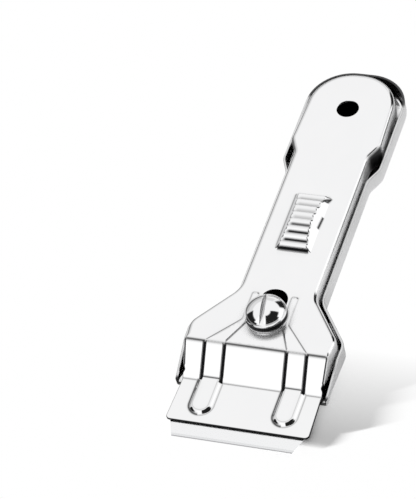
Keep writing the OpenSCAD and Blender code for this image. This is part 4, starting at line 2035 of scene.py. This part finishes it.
@dataclass
class Studio:
    """The floor, the lights, the room that the metal mirrors, and the camera."""

    # Lights: brightness, then the sun's angles in degrees
    ambient: float = 0.5
    room: float = 1.0
    key: float = 0.5
    key_rise: float = 4.8
    key_turn: float = 206.0
    key_spread: float = 2.5

    # Floor: tones, then the places in millimetres where they change
    floor_reach: float = 2000.0
    floor_gap: float = 0.05
    floor_tone: float = 0.8
    far_floor: float = 0.2
    floor_gleam: float = 0.7
    floor_dark: float = 0.015
    front_start: float = -20.0
    front_run: float = 32.0
    side_x: Span = (4.0, 18.0)
    rear_y: Span = (15.0, 40.0)
    far_x: Span = (-44.0, -24.0)
    far_y: Span = (76.0, 100.0)
    dark_x: Span = (30.0, 36.0)
    dark_slopes: Span = (1.04, 5.1)
    dark_edge: float = 8.0

    # Camera: picture points, degrees and millimetres, then the sensor in millimetres and the clip in metres
    focal_px: float = 3000.0
    frame_px: tuple[int, int] = (416, 499)
    azimuth: float = 29.183
    elevation: float = 47.212
    roll: float = -15.0
    offset: tuple[float, float, float] = (13.383, -27.626, 847.379)
    sensor: float = 36.0
    clip: Span = (0.05, 20.0)

    patches: tuple[Patch, ...] = (
        Patch((283.0, 385.0), (37.0, 71.0), 0.015),
        Patch((283.0, 350.0), (-5.0, 21.0), 0.5),
        Patch((283.0, 350.0), (18.0, 40.0), 0.015),
        Patch((353.0, 405.0), (-5.0, 33.0), 1.15),
        Patch((330.0, 359.0), (17.0, 40.0), 0.015),
        Patch((172.0, 239.0), (-5.0, 37.0), 0.015),
        Patch((225.0, 282.0), (19.0, 60.0), 1.15),
        Patch((50.0, 79.0), (-15.0, 28.0), 0.015),
        Patch((85.0, 172.0), (11.0, 32.0), 0.78),
        Patch((118.0, 168.0), (-5.0, 13.0), 0.55))

    def build(self) -> None:
        """Sets up everything around the object."""
        self.floor()
        self.light()
        self.world()
        self.camera()

    def floor(self) -> None:
        """Lays the floor just under the object."""
        reach, level = self.floor_reach * MM, -self.floor_gap * MM
        corners = [(-reach, -reach, level), (reach, -reach, level),
                   (reach, reach, level), (-reach, reach, level)]
        mesh = bpy.data.meshes.new("floor")
        mesh.from_pydata(corners, [], [(0, 1, 2, 3)])
        made = linked("floor", mesh)
        mesh.materials.append(self.floor_paint())

    def floor_paint(self) -> bpy.types.Material:
        """Paints the floor pale, with the shadow kept in front and a dark part for the metal to mirror.

        Returns:
            The material.
        """
        paint = bpy.data.materials.new("floor_paint")
        graph = Graph.of(paint)
        seen, mirrored_ray = graph.ray("Is Camera Ray"), graph.ray("Is Glossy Ray")
        pale, bright = (graph.node("ShaderNodeBsdfDiffuse", None, {"Color": (c, c, c, 1.0)})
                        for c in (self.floor_tone, 1.0))
        white, dim, black = (graph.glow("ShaderNodeEmission", strength)
                             for strength in (1.0, self.far_floor, self.floor_dark))
        x, y, _ = graph.spot()
        front = 1.0 - ((y + (PLACE.centre_y - self.front_start)) / self.front_run).within(0.0, 1.0)
        side = x.ease(*self.side_x)
        rear = (y + PLACE.centre_y).ease(*self.rear_y) * self.floor_gleam
        far = ((1.0 - x.ease(*self.far_x)) + y.ease(*self.far_y)).within(0.0, 1.0)
        run = y + (PLACE.centre_y - PLACE.screw_y)
        low, high = self.dark_slopes
        dark = (run - low * x).ease(0.0, self.dark_edge) * (high * x - run).ease(0.0, self.dark_edge)
        dark = dark * x.ease(*self.dark_x)
        surface = graph.layer((seen + mirrored_ray).within(0.0, 1.0), pale, bright)
        surface = graph.layer((1.0 - front * side) * seen + rear * mirrored_ray, surface, white)
        surface = graph.layer(far * mirrored_ray, surface, dim)
        surface = graph.layer(dark * mirrored_ray, surface, black)
        graph.node("ShaderNodeOutputMaterial", None, {"Surface": surface})
        return paint

    def light(self) -> None:
        """Hangs the key light low on the left, hidden from reflections."""
        lamp = bpy.data.lights.new("key", "SUN")
        rise, turn = math.radians(self.key_rise), math.radians(self.key_turn)
        lamp.energy = self.key * math.pi / math.sin(rise)
        lamp.angle = math.radians(self.key_spread)
        made = linked("key", lamp)
        back = Vector((math.cos(turn) * math.cos(rise), math.sin(turn) * math.cos(rise), math.sin(rise)))
        made.rotation_euler = back.to_track_quat("Z", "Y").to_euler()
        made.visible_glossy = False

    def world(self) -> None:
        """Lights the room softly, and shows polished metal a white room with dark and grey panels."""
        room = bpy.data.worlds.new("room")
        bpy.context.scene.world = room
        graph = Graph.of(room)
        room.cycles.sampling_method = "NONE"
        x, y, z = graph.parts(graph.node("ShaderNodeTexCoord", out="Generated"))
        turn, rise = y.turn(x), z.rise()

        def glow(strength: float) -> Socket:
            """A white background of one strength."""
            return graph.glow("ShaderNodeBackground", strength)

        mirror = glow(self.room)
        for patch in self.patches:
            mirror = graph.layer(patch.mask(turn, rise), mirror, glow(patch.value))
        sky = graph.layer(graph.ray("Is Glossy Ray"), glow(self.ambient), mirror)
        sky = graph.layer(graph.ray("Is Camera Ray"), sky, glow(1.0))
        graph.node("ShaderNodeOutputWorld", None, {"Surface": sky})

    def camera(self) -> None:
        """Sets the camera at the photographed angle."""
        az, el, roll = (math.radians(a) for a in (self.azimuth, self.elevation, self.roll))
        back = Vector((math.sin(az) * math.cos(el), -math.cos(az) * math.cos(el), math.sin(el)))
        right = (-back).cross(Vector((0.0, 0.0, 1.0))).normalized()
        up = right.cross(-back)
        c, s = math.cos(roll), math.sin(roll)
        right, up = right * c + up * s, up * c - right * s
        eye = -(right * self.offset[0] + up * self.offset[1] - back * self.offset[2])
        eye = Vector((eye.x, eye.y - PLACE.centre_y, eye.z + PLACE.face_z)) * MM
        data = bpy.data.cameras.new("camera")
        data.sensor_width = self.sensor
        data.lens = self.focal_px / max(self.frame_px) * data.sensor_width
        data.clip_start, data.clip_end = self.clip
        made = linked("camera", data)
        turn = Matrix((right, up, back)).transposed().to_4x4()
        made.matrix_world = Matrix.Translation(eye) @ turn
        bpy.context.scene.camera = made


def main() -> None:
    """Builds the pieces in order, then the studio."""
    logging.basicConfig(level=logging.INFO, format="%(name)s: %(message)s")
    bpy.context.scene.view_settings.view_transform = "Standard"
    for assembly in (BaseShell(), SlidingCover(), RazorBlade(), ClampScrew(), ThreadedBush(), BladePegs()):
        assembly.place()
    Studio().build()


if __name__ == "__main__":
    main()
